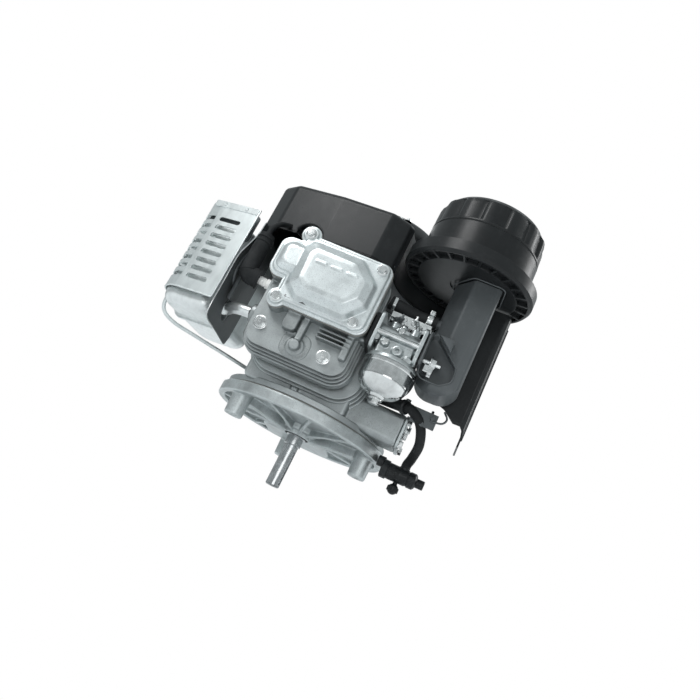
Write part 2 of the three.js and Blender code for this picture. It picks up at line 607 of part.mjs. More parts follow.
function piston() {
  const r = BORE_R - 0.4;
  const hollow = BORE_R - 2.8;
  const crown = -PIN_TO_CROWN;
  const grooves = [4, 8, 12].map((down) => ring('y', r + 2, r - 1.5, 1.6, 0, crown + down, 0, 48));
  const bosses = [block(-11, 11, crown + 4, PIN_R + 3, 9, BORE_R - 3.5),
    block(-11, 11, crown + 4, PIN_R + 3, 3.5 - BORE_R, -9)];
  const shell = cut(bar('y', r, SKIRT_L, 0, crown, 0, 48), bar('y', hollow, SKIRT_L, 0, crown + 6, 0, 48));
  return cut(join(shell, bosses), grooves,
    bar('z', PIN_R + GAP, 2 * BORE_R + 4, 0, 0, -BORE_R - 2, 20));
}

const WRIST_Y = -CRANK_R - ROD_L;
const wrist = groupAt(0, WRIST_Y, CYL_Z);
add('piston', piston(), castAluminium, wrist);
add('wrist_pin', ring('z', PIN_R, 4.5, 2 * BORE_R - 12, 0, 0, 6 - BORE_R, 20), machinedSteel, wrist);

// ------------------------------------------------------------------ flywheel, fan and starter
function flywheel() {
  const top = FLYWHEEL_H;
  const wheel = turned([[0, 0], [26, 0], [26, 14], [FLYWHEEL_R - 18, 14], [FLYWHEEL_R - 18, 4],
    [FLYWHEEL_R, 4],
    [FLYWHEEL_R, top - 6], [FLYWHEEL_R - 4, top - 2], [26, top - 2], [26, top - 1], [0, top - 1]], 48);
  const blades = [];
  for (let index = 0; index < BLADE_COUNT; index += 1) {
    const geometry = new THREE.BoxGeometry(30, 2.6, 24);
    geometry.rotateZ(rad(28)).translate(FLYWHEEL_R - 17, 0,
      top + 9).rotateZ(2 * Math.PI * index / BLADE_COUNT);
    blades.push(solid(geometry));
  }
  const bore = solid(new THREE.CylinderGeometry(10.4, UPPER_JOURNAL_R + 0.4, top + 2.2, 24)
    .rotateX(Math.PI / 2).translate(0, 0, top / 2 - 1));
  return cut(join(wheel, blades), bore);
}

const wheelGroup = groupAt(0, 0, FLYWHEEL_Z);
add('flywheel', flywheel(), castIron, wheelGroup);
add('starter_cup', join(
  ring('z', 36, 34, 22, 0, 0, FLYWHEEL_H, 32),
  ring('z', 36, 10.5, 2.5, 0, 0, FLYWHEEL_H, 32)), darkSteel, wheelGroup);
add('flywheel_nut', cut(bar('z', 12, 10, 0, 0, FLYWHEEL_H + 2.9, 6), bar('z', 7, 14, 0, 0, FLYWHEEL_H, 16)),
  machinedSteel, wheelGroup);

function ignitionCoil() {
  const core = block(-14, 14, FLYWHEEL_R + 1.2, FLYWHEEL_R + 24, 4, 18);
  return join(core, block(-17, 17, FLYWHEEL_R + 7, FLYWHEEL_R + 19, -2, 24),
    block(-9, 9, CASE_Y1 - 20, FLYWHEEL_R + 20, -11.7, -6), block(-9, 9, FLYWHEEL_R + 12, FLYWHEEL_R + 20,
      -9, 4));
}

add('ignition_coil', ignitionCoil(), darkSteel, groupAt(0, 0, FLYWHEEL_Z));

// ------------------------------------------------------------------ blower housing and recoil cover
// Plan outline: flat front, hollow right side that follows the filter, round back.
function housingPlan(inset) {
  const shape = new THREE.Shape();
  const hollowR = FILTER_R + 5 + inset;
  const r = HOUSING_R - inset;
  shape.moveTo(-150 + inset, -98 + inset);
  shape.lineTo(-128 + inset, -118 + inset);
  shape.lineTo(-60, -133 + inset);
  shape.lineTo(10 - inset, -140 + inset);
  shape.lineTo(30 - inset, -134 + inset);
  shape.absarc(FILTER_X, FILTER_Y, hollowR, rad(184), rad(97), true);
  shape.absarc(0, 0, r, rad(-8), rad(160), false);
  shape.lineTo(-150 + inset, 10);
  return shape;
}

function housingShell(inset, bevel, z0, z1) {
  const geometry = new THREE.ExtrudeGeometry(housingPlan(inset + bevel), {
    depth: z1 - z0 - bevel, bevelEnabled: true, bevelThickness: bevel, bevelSize: bevel,
    bevelSegments: 1, curveSegments: 6,
  });
  return solid(geometry.translate(0, 0, z0));
}

function blowerHousing() {
  const outer = housingShell(0, HOUSING_BEVEL, HOUSING_Z0, HOUSING_Z1);
  const inner = housingShell(HOUSING_WALL, HOUSING_BEVEL - 2, HOUSING_Z0 - 12, HOUSING_Z1 - HOUSING_WALL);
  const floor = block(-300, 300, -300, 300, HOUSING_Z0 - 40, HOUSING_Z0);
  const arch = bar('y', 19, 60, -78, -170, HOUSING_Z0 - 2, 24);
  const lug = block(44, 52, -60, -52, HOUSING_Z1 - 9, HOUSING_Z1 + 10);
  return cut(join(outer, lug), inner, floor, arch, bar('z', RECOIL_R - 8, 30, 0, 0, HOUSING_Z1 - 15, 40));
}

add('blower_housing', blowerHousing(), blackPlastic);
add('recoil_cover', cut(turned([[0, 0], [RECOIL_R, 0], [RECOIL_R, 14], [RECOIL_R - 10, RECOIL_H - 4],
  [RECOIL_R - 18, RECOIL_H], [0, RECOIL_H]], 40),
turned([[0, -1], [RECOIL_R - 3, -1], [RECOIL_R - 3, 13], [RECOIL_R - 13, RECOIL_H - 6], [0, RECOIL_H - 6]],
  40))
  .add(bar('z', 6, RECOIL_H - 8, 0, 0, 6, 16)), blackPlastic, groupAt(0, 0, HOUSING_Z1 + GAP));
add('recoil_reel', cut(turned([[0, 8], [50, 8], [50, 11], [44, 13], [50, 15], [50, 18], [0, 18]], 32),
  bar('z', boreFor(6, 16), 20, 0, 0, 4, 16)), darkSteel, groupAt(0, 0, HOUSING_Z1 + 1));

// ------------------------------------------------------------------ spark plug and boot
const plugGroup = groupAt(...onPlugAxis(HEAD_X0 + 8));
plugGroup.rotation.z = rad(PLUG_TILT);
add('spark_plug', join(
  bar('x', 6.6, 36, -8, 0, 0, 16),
  bar('x', 10, 9, -17, 0, 0, 6),
  bar('x', 5.5, 18, -BOOT_REACH + 4, 0, 0, 14)), ceramic, plugGroup);

function plugBoot() {
  const elbow = solid(new THREE.SphereGeometry(12, 12, 6).translate(-BOOT_REACH, 0, 0));
  const leg = bar('z', 12, 58, -BOOT_REACH, 0, 0, 20, 10.5);
  return cut(join(elbow, leg, bar('x', 12, BOOT_REACH - 18, -BOOT_REACH, 0, 0, 20)),
    bar('x', 6.3, 40, -BOOT_REACH + 2, 0, 0, 16));
}

add('spark_plug_boot', plugBoot(), rubber, plugGroup);

// ------------------------------------------------------------------ muffler, guard and side plate
const muffler = groupAt(GUARD_X, GUARD_Y, 0);
muffler.rotation.z = rad(GUARD_TURN);
const SLOT_PITCH = (GUARD_Z1 - GUARD_Z0 - 34) / SLOT_COUNT;

function guardPlan(inset) {
  const shape = new THREE.Shape();
  const r = GUARD_BEND_R - inset;
  const left = -GUARD_W + inset;
  shape.moveTo(0, inset);
  shape.absarc(left + r, inset + r, r, 1.5 * Math.PI, Math.PI, true);
  shape.lineTo(left, GUARD_DEPTH);
  return shape;
}

function guard() {
  const outer = guardPlan(0);
  const inner = guardPlan(GUARD_T).getPoints(3).reverse();
  const sheet = new THREE.Shape([...outer.getPoints(3), ...inner]);
  const body = join(prismZ(sheet, GUARD_Z0, GUARD_Z1));
  const tools = [];
  for (let row = 0; row < SLOT_COUNT; row += 1) {
    const z = GUARD_Z0 + 16 + row * SLOT_PITCH;
    tools.push(block(-GUARD_W + GUARD_BEND_R + 1, -22, -3, 4, z, z + 6));
    tools.push(block(-GUARD_W - 3, -GUARD_W + GUARD_BEND_R - 5, 4, GUARD_BEND_R - 3, z, z + 6));
    tools.push(block(-GUARD_W - 3, -GUARD_W + 4, GUARD_BEND_R + 6, GUARD_DEPTH - 12, z, z + 6));
  }
  return cut(body, tools);
}

function mufflerShell() {
  const top = MUFFLER_Z1;
  const plan = roundedRect(-GUARD_W + 14, -12, 16, MUFFLER_DEPTH, 16);
  const body = solid(new THREE.ExtrudeGeometry(plan, {
    depth: top - MUFFLER_Z0 - 12, bevelEnabled: true, bevelThickness: 6, bevelSize: 6,
    bevelSegments: 1, curveSegments: 2,
  }).translate(0, 0, MUFFLER_Z0 + 6));
  const seam = prismY(roundedRect(-GUARD_W + 3, -1.5, MUFFLER_Z0 - 5, top + 5, 14), 62, 64.5);
  const pipe = solid(tube([[HEAD_X0 - 2, EXHAUST_Y, EXHAUST_Z], [HEAD_X0 - 16, EXHAUST_Y + 3, EXHAUST_Z],
    [-122, -124, 114], [PLATE_X, -104, 115], [-154, -80, 120]], 7.4, 8, 9));
  const turnBack = [-GUARD_X, -GUARD_Y, 0];
  const pipeInGroup = pipe.translate(turnBack).rotate([0, 0, -GUARD_TURN]);
  const room = block(-GUARD_W + 20, -20, 22, MUFFLER_DEPTH - 10, MUFFLER_Z0 + 12, top - 12);
  const outlet = bar('y', 9, 30, -GUARD_W + 30, MUFFLER_DEPTH - 12, top - 34, 16);
  return join(cut(join(body, seam), room, outlet), cut(pipeInGroup, room));
}

add('muffler_shell', mufflerShell(), brightPress, muffler);
add('muffler_guard', guard(), zincPlate, muffler);

function sidePlate() {
  const shape = outline([[-134, HOUSING_Z0 - 6], [-137, 214], [-161, 168], [-159, 92], [-148, 82], [-52,
    82],
    [-46, 96], [-46, HOUSING_Z0 - 6]]);
  return cut(prismX(shape, PLATE_X, PLATE_X + GUARD_T), bar('x', 17, 30, PLATE_X - 15, -104, 115, 20));
}

add('side_plate', sidePlate(), darkSteel);

// The bracket runs under the muffler from the guard's left side to the crankcase.
add('muffler_bracket', tube([[-GUARD_W + 4.7, 36, GUARD_Z0 + 4], [-GUARD_W + 5, 42, MUFFLER_Z0 - 3],
  [-78, 54, MUFFLER_Z0 - 14], [-46, 72, MUFFLER_Z0 - 18], [-8, 98, MUFFLER_Z0 - 21],
  [30, 128, MUFFLER_Z0 - 24]], 2.7, 6, 12), darkSteel, muffler);

// ------------------------------------------------------------------ carburettor
add('carburetor_insulator', cut(
  block(HEAD_X1 + GAP, CARB_X0 - GAP, CARB_Y - 22, CARB_Y + 20, CARB_Z - 20, CARB_Z + 20),
  bar('x', CARB_BORE_R, 12, HEAD_X1 - 3, CARB_Y, CARB_Z, 20)), blackPlastic);

const carb = groupAt(CARB_X0, CARB_Y, CARB_Z);
const BOWL_X = CARB_L / 2 + 3;
const BOWL_TOP = -31;
const THROTTLE_X = 18;
const CHOKE_X = 44;
const SHAFT_TOP = 26;

function carburetorBody() {
  const flange = roundedRect(-24, 22, -24, 26, 7);
  const parts = [
    bar('x', CARB_BORE_R + 6, CARB_L, 0, 0, 0, 24),
    prismX(flange, 0, 4.5), prismX(flange, CARB_L - 4.5, CARB_L),
    block(9, CARB_L - 8, -17, 15, BOWL_TOP + 4, 4),
    bar('z', BOWL_R + 1.5, 6, BOWL_X, 0, BOWL_TOP, 32),
    bar('y', 4, 12, BOWL_X + 2, -26, -18, 14), bar('x', 2.6, CARB_L - 6, 3, -20, -1, 12),
    block(2, CARB_L - 2, -20, -10, -3, 1),
    bar('z', 6, 9, THROTTLE_X, 0, 14, 16), bar('z', 6, 9, CHOKE_X, 0, 14, 16),
    bar('z', 7, 14, BOWL_X, 0, BOWL_TOP - 10, 16),
  ];
  return cut(join(parts), bar('x', CARB_BORE_R, CARB_L + 4, -2, 0, 0, 24),
    bar('z', 3.3, 30, THROTTLE_X, 0, 0, 12), bar('z', 3.3, 30, CHOKE_X, 0, 0, 12),
    bar('z', 3.4, 20, BOWL_X, 0, BOWL_TOP - 12, 12));
}

add('carburetor_body', carburetorBody(), castAluminium, carb);
const bowlZ = BOWL_TOP - GAP;
add('float_bowl', cut(turned([[0, bowlZ - BOWL_H], [8, bowlZ - BOWL_H], [10, bowlZ - BOWL_H + 4],
  [BOWL_R - 8, bowlZ - BOWL_H + 8], [BOWL_R - 1, bowlZ - BOWL_H + 15], [BOWL_R, bowlZ - 4],
  [BOWL_R + 1.5, bowlZ - 3], [BOWL_R + 1.5, bowlZ], [0, bowlZ]], 36),
turned([[0, bowlZ - BOWL_H + 10], [BOWL_R - 9, bowlZ - BOWL_H + 10], [BOWL_R - 2.5, bowlZ - BOWL_H + 17],
  [BOWL_R - 1.5, bowlZ + 1], [0, bowlZ + 1]], 36),
bar('z', 3.5, 30, 0, 0, bowlZ - BOWL_H - 4, 12)), brightPress, groupAt(BOWL_X, 0, 0, carb));
add('bowl_bolt', join(bar('z', 7, 7, 0, 0, -7.3, 6), bar('z', 3, 32, 0, 0, -0.5, 12)), machinedSteel,
  groupAt(BOWL_X, 0, bowlZ - BOWL_H, carb));

// The float hangs from a pin at its left, down on its stop as in an empty bowl.
const floatGroup = groupAt(BOWL_X - 19, 0, BOWL_TOP, carb);
floatGroup.rotation.y = rad(FLOAT_DROP);
add('float', join(
  cut(bar('z', 20, 11, 20, 0, -22, 28), bar('z', 9, 13, 20, 0, -23, 20)),
  block(-2, 6, -6, 6, -14, -11), block(-2, 2, -6, 6, -14, -2.5)), brass, floatGroup);

// A lever on a vertical shaft that carries the butterfly plate inside the bore.
function shaftLever(length, width, turn, plateR) {
  const arm = new THREE.BoxGeometry(length, width, 2).translate(length / 2, 0, 1).rotateZ(rad(turn));
  const end = new THREE.CylinderGeometry(width / 2 + 1, width / 2 + 1, 2, 14).rotateX(Math.PI / 2)
    .translate(length, 0, 1).rotateZ(rad(turn));
  return join(bar('z', 3, 22, 0, 0, -20, 12), bar('z', 5.5, 3.5, 0, 0, 0, 14), solid(arm), solid(end),
    prismX(
    roundedRect(-plateR, plateR, -SHAFT_TOP - plateR, -SHAFT_TOP + plateR, plateR - 0.1), -0.7, 0.7, 3));
}

const throttlePlate = CARB_BORE_R - 0.8;
add('throttle_lever', join(shaftLever(13, 7, -70, throttlePlate), bar('z', 3, 10, 0, 0, -27, 12)),
  darkSteel,
  groupAt(THROTTLE_X, 0, SHAFT_TOP, carb));
add('choke_lever', join(shaftLever(22, 7, -100, throttlePlate), bar('z', 3, 10, 0, 0, -27, 12)), zincPlate,
  groupAt(CHOKE_X, 0, SHAFT_TOP, carb));

// ------------------------------------------------------------------ air duct and its nuts
const DUCT_X1 = DUCT_X0 + 22;
const DUCT_X2 = DUCT_X1 + DUCT_FRONT_W;

function ductPlan(inset) {
  return outline([[DUCT_X1 + inset, DUCT_FRONT_Y + inset], [DUCT_X2 - inset, DUCT_FRONT_Y + inset],
    [DUCT_X2 - inset, DUCT_BACK_Y - inset], [DUCT_X0 + inset, DUCT_BACK_Y - inset],
    [DUCT_X0 + inset, DUCT_BACK_Y - 16]]);
}

function airDuct() {
  const top = FILTER_Z - GAP;
  const pad = block(DUCT_X0, DUCT_X1 + 8, CARB_Y - 24, CARB_Y + 20, CARB_Z - 22, CARB_Z + 24);
  const room = prismZ(ductPlan(DUCT_WALL), DUCT_Z0 + DUCT_WALL, top + 1);
  const pocket = block(DUCT_X0 + 8, DUCT_X1 + 26, DUCT_FRONT_Y - 14, DUCT_FRONT_Y + 12, CARB_Z - 23,
    CARB_Z + 9);
  const pocketShell = block(DUCT_X0 + 5, DUCT_X1 + 29, DUCT_FRONT_Y, DUCT_FRONT_Y + 15, CARB_Z - 26,
    CARB_Z + 12);
  const mouth = bar('x', CARB_BORE_R, 36, DUCT_X0 - 1, CARB_Y + 8, CARB_Z + 4, 20);
  const corner = cut(block(DUCT_X2 - 12, DUCT_X2 + 1, -170, -90, DUCT_Z0 - 1, DUCT_Z0 + 12),
    bar('y', 12, 90, DUCT_X2 - 12, -175, DUCT_Z0 + 12, 24));
  const nipple = ring('x', 6, 4, 12, DUCT_X0 - 8, HOSE_Y, HOSE_Z, 16);
  const body = cut(join(prismZ(ductPlan(0), DUCT_Z0, top), pad), room);
  return cut(join(body, pocketShell, nipple), pocket, mouth, corner,
    bar('x', 3.2, 12, DUCT_X0 - 1, CARB_Y - 17, CARB_Z - 8, 12), 
    bar('x', 4, 14, DUCT_X0 - 9, HOSE_Y, HOSE_Z, 14));
}

add('air_duct', airDuct(), greyPlastic);

// ------------------------------------------------------------------ air filter
const filter = groupAt(FILTER_X, FILTER_Y, FILTER_Z);

function filterBase() {
  const dish = cut(turned([[0, 0], [FILTER_R - 3, 0], [FILTER_R, 4], [FILTER_R, FILTER_BASE_H], [0,
    FILTER_BASE_H]], 48),
    bar('z', FILTER_R - 3, FILTER_BASE_H, 0, 0, 3, 48));
  const ledge = ring('z', FILTER_R - 2, CAP_R - 5, 3, 0, 0, FILTER_BASE_H - 3, 48);
  const hole = block(DUCT_X1 + 5 - FILTER_X, DUCT_X2 - 5 - FILTER_X, DUCT_FRONT_Y + 8 - FILTER_Y,
    DUCT_BACK_Y - 8 - FILTER_Y, -1, 6);
  const stud = bar('z', 3, CAP_H + FILTER_BASE_H + 6, 0, 0, 1, 12);
  return join(cut(join(dish, ledge), hole), stud);
}

function filterCap() {
  const z0 = FILTER_BASE_H + GAP;
  const louvreZ = z0 + CAP_H * 0.5;
  const points = [];
  for (let vane = 0; vane < CAP_VANES; vane += 1) {
    const step = 2 * Math.PI / CAP_VANES;
    for (const [part, r] of [[0, CAP_R - 4], [0.05, CAP_R], [0.5, CAP_R - 0.7], [0.93, CAP_R - 4]]) {
      points.push([r * Math.cos((vane + part) * step), r * Math.sin((vane + part) * step)]);
    }
  }
  const body = join(
    turned([[0, z0], [CAP_R + 1, z0], [CAP_R, z0 + 3], [CAP_R, louvreZ], [0, louvreZ]], 48),
    prismZ(outline(points), louvreZ - 0.5, z0 + CAP_H - 3),
    turned([[0, z0 + CAP_H - 4], [CAP_R - 4.5, z0 + CAP_H - 4], [CAP_R - 8, z0 + CAP_H], [0, z0 + CAP_H]],
      48));
  return cut(body, bar('z', CAP_R - 8, CAP_H - 3, 0, 0, z0 - 1, 40), bar('z', 3.4, CAP_H + 4, 0, 0, z0,
    12));
}

add('filter_base', filterBase(), blackPlastic, filter);
add('filter_element', ring('z', 58, 38, 58, 0, 0, FILTER_BASE_H + 1, 32), filterPaper, filter);
add('filter_cap', filterCap(), blackPlastic, filter);
add('cap_knob', cut(join(bar('z', 12, 12, 0, 0, 0, 20), block(-18, 18, -3, 3, 2, 12)),
  bar('z', 3.4, 9, 0, 0, -1, 12)), blackPlastic, groupAt(0, 0, FILTER_BASE_H + CAP_H + 2 * GAP, filter));

// ------------------------------------------------------------------ right-hand side cover
function sideCover() {
  const x0 = DUCT_X2 + 2;
  const plan = (inset) => outline([[x0 - 1 + inset, -94 + inset], [x0 + 16, -94 + inset],
    [x0 + 22 - inset, -86],
    [x0 + 24 - inset, -24 - inset], [x0 - 1 + inset, -24 - inset]]);
  const body = cut(prismZ(plan(0), 79, FILTER_Z - 1), prismZ(plan(2.5), 70, FILTER_Z + 5));
  return cut(body, block(x0 - 5, x0 + 12, -85, -20, 60, FILTER_Z + 10));
}

add('side_cover', sideCover(), blackPlastic);

// ------------------------------------------------------------------ hoses and drain fitting
add('breather_hose', cut(solid(tube([[HEAD_X1 + 2.5, HOSE_Y - 6, HOSE_Z + 2], [HEAD_X1 + 22, HOSE_Y - 5,
  HOSE_Z - 1],
  [DUCT_X0 - 26, HOSE_Y - 1, HOSE_Z - 1], [DUCT_X0 - 1, HOSE_Y, HOSE_Z]], 8.5, 10, 7)),
bar('x', 6.2, 16, DUCT_X0 - 8.3, HOSE_Y, HOSE_Z, 14)), rubber);

const SPIGOT_START = [CASE_X1 + 0.5, -44, CASE_Z0 + 61];
const SPIGOT_END = [CASE_X1 + 60, -95, CASE_Z0 + 51];
const along = (t) => SPIGOT_START.map((value, axis) => value + (SPIGOT_END[axis] - value) * t);
add('hose_spigot', cut(join(strut(SPIGOT_START, SPIGOT_END, 7.5, 20), strut(along(0.88), SPIGOT_END, 9.2,
  20)),
  strut(along(0.8), along(1.1), 5.4, 16),
  block(CASE_X1 - 12, CASE_X1 + GAP, -64, -24, CASE_Z0 + 40, CASE_Z0 + 80)), blackPlastic);

const FITTING_Y = -42;
const FITTING_Z = 24;
const FITTING_X = FLANGE_R + 3;
const FITTING_TAIL_X = Math.sqrt(FLANGE_R ** 2 - (FITTING_Y + 7) ** 2) + GAP;
const HOSE_X = FITTING_X + 28;
add('oil_hose', tube([along(1.012), along(1.09), [HOSE_X + 3, -88, CASE_Z0 + 34], [HOSE_X + 7, -68,
  CASE_Z0 + 18],
  [HOSE_X + 2, FITTING_Y - 4, CASE_Z0 + 4], [HOSE_X, FITTING_Y, FITTING_Z + 16],
  [HOSE_X, FITTING_Y, FITTING_Z + 11 + GAP]], 6.2, 8, 14), rubber);

add('oil_fitting', join(bar('x', 10.5, 46, FITTING_X, FITTING_Y, FITTING_Z, 24),
  bar('x', 12, 9, FITTING_X, FITTING_Y, FITTING_Z, 24), bar('x', 6, 58, FITTING_X, FITTING_Y, FITTING_Z,
    16),
  bar('z', 7.5, 11, HOSE_X, FITTING_Y, FITTING_Z, 20),
  bar('x', 7, FITTING_X + 1 - FITTING_TAIL_X, FITTING_TAIL_X, FITTING_Y, FITTING_Z + 7, 16)), blackPlastic);
add('drain_knob', join(solid(new THREE.SphereGeometry(7, 10, 6).translate(0, 0, -8.4)),
  bar('z', 3, 4, 0, 0, -4, 12)), blackPlastic, groupAt(FITTING_X + 24, FITTING_Y, FITTING_Z - 10.5 - GAP));

// ------------------------------------------------------------------ governor arm
add('governor_arm', join(bar('z', 4, 26, 0, 0, -10, 14), block(-4, 34, -4, 4, 6, 8.5),
  bar('z', 6, 2.5, 34, 0, 6, 16), bar('z', 2, 9, 34, 0, 6, 10)), zincPlate,
groupAt(CHEST_X1 - 8, -60, CASE_Z0 + 45 + 10.4));

export default engine;
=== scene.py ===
"""Small vertical-shaft petrol engine: the finished look, built round the packed frame."""
import json
import math

import bmesh
import bpy
from bpy.props import FloatProperty, FloatVectorProperty, IntProperty, PointerProperty
from mathutils import Matrix, Vector


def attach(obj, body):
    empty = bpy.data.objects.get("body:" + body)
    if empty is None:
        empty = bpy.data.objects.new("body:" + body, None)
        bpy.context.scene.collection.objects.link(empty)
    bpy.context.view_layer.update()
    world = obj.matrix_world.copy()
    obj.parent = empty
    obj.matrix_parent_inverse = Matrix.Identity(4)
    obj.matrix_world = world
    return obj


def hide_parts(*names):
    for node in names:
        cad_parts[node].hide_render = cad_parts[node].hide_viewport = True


bl_info = {
    "name": "Petrol engine",
    "version": (1, 0, 0),
    "blender": (4, 5, 0),
    "location": "3D View > Sidebar > Engine",
    "description": "Builds the castings, covers, hoses and fasteners of a small petrol engine",
    "category": "Add Mesh",
}

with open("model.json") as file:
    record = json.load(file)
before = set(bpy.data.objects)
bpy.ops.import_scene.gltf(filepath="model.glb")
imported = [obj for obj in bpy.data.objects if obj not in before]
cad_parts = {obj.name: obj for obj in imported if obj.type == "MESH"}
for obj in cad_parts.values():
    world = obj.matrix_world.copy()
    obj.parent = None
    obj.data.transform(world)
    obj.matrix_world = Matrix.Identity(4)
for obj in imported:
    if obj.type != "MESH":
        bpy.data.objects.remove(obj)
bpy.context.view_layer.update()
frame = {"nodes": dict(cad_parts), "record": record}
MM = 0.001
BLOCK = "engine_block"


# ------------------------------------------------------------------ outlines, in millimetres
def arc(cx, cy, radius, start, end, steps=8):
    """Points on a circle, from one angle to another, in degrees."""
    turns = [math.radians(start + (end - start) * k / steps) for k in range(steps + 1)]
    return [(cx + radius * math.cos(t), cy + radius * math.sin(t)) for t in turns]


def soften(points, radius, steps=5):
    """A closed outline with each corner rounded."""
    result = []
    count = len(points)
    for index, point in enumerate(points):
        here = Vector(point)
        back = Vector(points[index - 1]) - here
        ahead = Vector(points[(index + 1) % count]) - here
        size = radius[index] if isinstance(radius, (list, tuple)) else radius
        half = back.angle(ahead) / 2
        if size < 1e-6 or half > 1.56:
            result.append(tuple(here))
            continue
        reach = min(size / math.tan(half), back.length * 0.49, ahead.length * 0.49)
        size = reach * math.tan(half)
        middle = here + (back.normalized() + ahead.normalized()).normalized() * (size / math.sin(half))
        first = here + back.normalized() * reach - middle
        last = here + ahead.normalized() * reach - middle
        turn = math.atan2(first.x * last.y - first.y * last.x, first.dot(last))
        for step in range(steps + 1):
            spun = Matrix.Rotation(turn * step / steps, 2) @ first
            result.append(tuple(middle + spun))
    return result


def rounded(x0, x1, y0, y1, radius, steps=6):
    return soften([(x0, y0), (x1, y0), (x1, y1), (x0, y1)], radius, steps)


def inset(points, distance):
    """The outline moved inwards by a distance."""
    if abs(distance) < 1e-9:
        return list(points)
    count = len(points)
    area = sum(points[k - 1][0] * points[k][1] - points[k][0] * points[k - 1][1] for k in range(count))
    side = 1 if area > 0 else -1
    result = []
    for index in range(count):
        here = Vector(points[index])
        into = (here - Vector(points[index - 1]))
        out = (Vector(points[(index + 1) % count]) - here)
        if into.length < 1e-7:
            into = out
        if out.length < 1e-7:
            out = into
        a = Vector((-into.y, into.x)).normalized()
        b = Vector((-out.y, out.x)).normalized()
        mean = (a + b).normalized()
        stretch = 1 / max(0.35, mean.dot(a))
        result.append(tuple(here + mean * (distance * side * stretch)))
    return result


# ------------------------------------------------------------------ closed shapes, in millimetres
class Shape:
    """Closed shells as plain lists, in millimetres."""

    def __init__(self, points=(), faces=()):
        self.points = list(points)
        self.faces = list(faces)

    def __add__(self, other):
        start = len(self.points)
        moved = [tuple(k + start for k in face) for face in other.faces]
        return Shape(self.points + other.points, self.faces + moved)

    def changed(self, matrix):
        return Shape([tuple(matrix @ Vector(p)) for p in self.points], self.faces)

    def moved(self, x, y, z):
        return self.changed(Matrix.Translation((x, y, z)))

    def spun(self, degrees, axis="Z", at=(0, 0, 0)):
        turn = Matrix.Rotation(math.radians(degrees), 4, axis)
        return self.changed(Matrix.Translation(at) @ turn @ Matrix.Translation([-v for v in at]))


def whole(*shapes):
    result = Shape()
    for shape in shapes:
        result = result + shape
    return result


def stacked(rings, caps=True, loop=False):
    """Skins a list of rings that all have the same number of points."""
    count = len(rings[0])
    points = [tuple(p) for ring in rings for p in ring]
    faces = []
    levels = len(rings) if loop else len(rings) - 1
    for level in range(levels):
        low = level * count
        high = (level + 1) % len(rings) * count
        for k in range(count):
            n = (k + 1) % count
            faces.append((low + k, low + n, high + n, high + k))
    if caps and not loop:
        faces.append(tuple(reversed(range(count))))
        faces.append(tuple(range((len(rings) - 1) * count, len(rings) * count)))
    return Shape(points, faces)


def placed(point, height, axis):
    a, b = point
    return {"z": (a, b, height), "y": (a, height, b), "x": (height, a, b)}[axis]


def loft(levels, axis="z"):
    """Joins outlines at different heights."""
    return stacked([[placed(p, height, axis) for p in outline] for outline, height in levels])


def slab(outline, low, high, axis="z", edge_low=0.0, edge_high=0.0, steps=3):
    """An outline pulled between two heights, with its two rims rounded."""
    levels = []
    for edge, start, way in ((edge_low, low, 1), (edge_high, high, -1)):
        part = []
        for k in range(steps + 1 if edge > 0 else 1):
            angle = math.pi / 2 * k / steps
            part.append((inset(outline, edge * (1 - math.sin(angle))),
                         start + way * edge * (1 - math.cos(angle))))
        levels += part if way > 0 else part[::-1]
    return loft(levels, axis)


def box(x0, x1, y0, y1, z0, z1, edge=0.8, axis="z"):
    spans = {"z": (x0, x1, y0, y1, z0, z1), "y": (x0, x1, z0, z1, y0, y1), "x": (y0, y1, z0, z1, x0,
                                                                                 x1)}[axis]
    return slab(rounded(*spans[:4], edge, 3), spans[4], spans[5], axis, edge, edge)


def lathe(profile, at=(0, 0, 0), axis="z", sides=64, loop=False):
    """Turns [radius, height] points about an axis; a loop makes a ring."""
    rings = []
    for k in range(sides):
        angle = 2 * math.pi * k / sides
        ring = []
        for radius, height in profile:
            a, b = radius * math.cos(angle), radius * math.sin(angle)
            x, y, z = placed((a, b), height, axis)
            ring.append((x + at[0], y + at[1], z + at[2]))
        rings.append(ring)
    count = len(profile)
    points = [p for ring in rings for p in ring]
    faces = []
    for k in range(sides):
        n = (k + 1) % sides
        for j in range(count if loop else count - 1):
            m = (j + 1) % count
            faces.append((k * count + j, k * count + m, n * count + m, n * count + j))
    return Shape(points, faces)


def ring(outer, inner, low, high, at=(0, 0, 0), axis="z", edge=0.5, sides=64):
    loop = soften([(inner, low), (outer, low), (outer, high), (inner, high)], edge, 2)
    return lathe(loop, at, axis, sides, loop=True)


def rod(start, end, radius, far=None, edge=0.4, sides=24):
    """A round bar between two points, with rounded ends."""
    a, b = Vector(start), Vector(end)
    length = (b - a).length
    far = radius if far is None else far
    profile = [(0, 0), (radius - edge, 0), (radius, edge), (far, length - edge), (far - edge, length),
               (0, length)]
    turn = Vector((0, 0, 1)).rotation_difference(b - a).to_matrix().to_4x4()
    return lathe(profile, sides=sides).changed(Matrix.Translation(a) @ turn)


def curve_points(points, per=8):
    """A smooth curve through points."""
    way = [Vector(p) for p in points]
    ends = [2 * way[0] - way[1]] + way + [2 * way[-1] - way[-2]]
    result = []
    for k in range(1, len(ends) - 2):
        a, b, c, d = ends[k - 1:k + 3]
        for step in range(per):
            t = step / per
            result.append(0.5 * (2 * b + (c - a) * t + (2 * a - 5 * b + 4 * c - d) * t * t
                                 + (3 * b - a - 3 * c + d) * t ** 3))
    return result + [way[-1]]


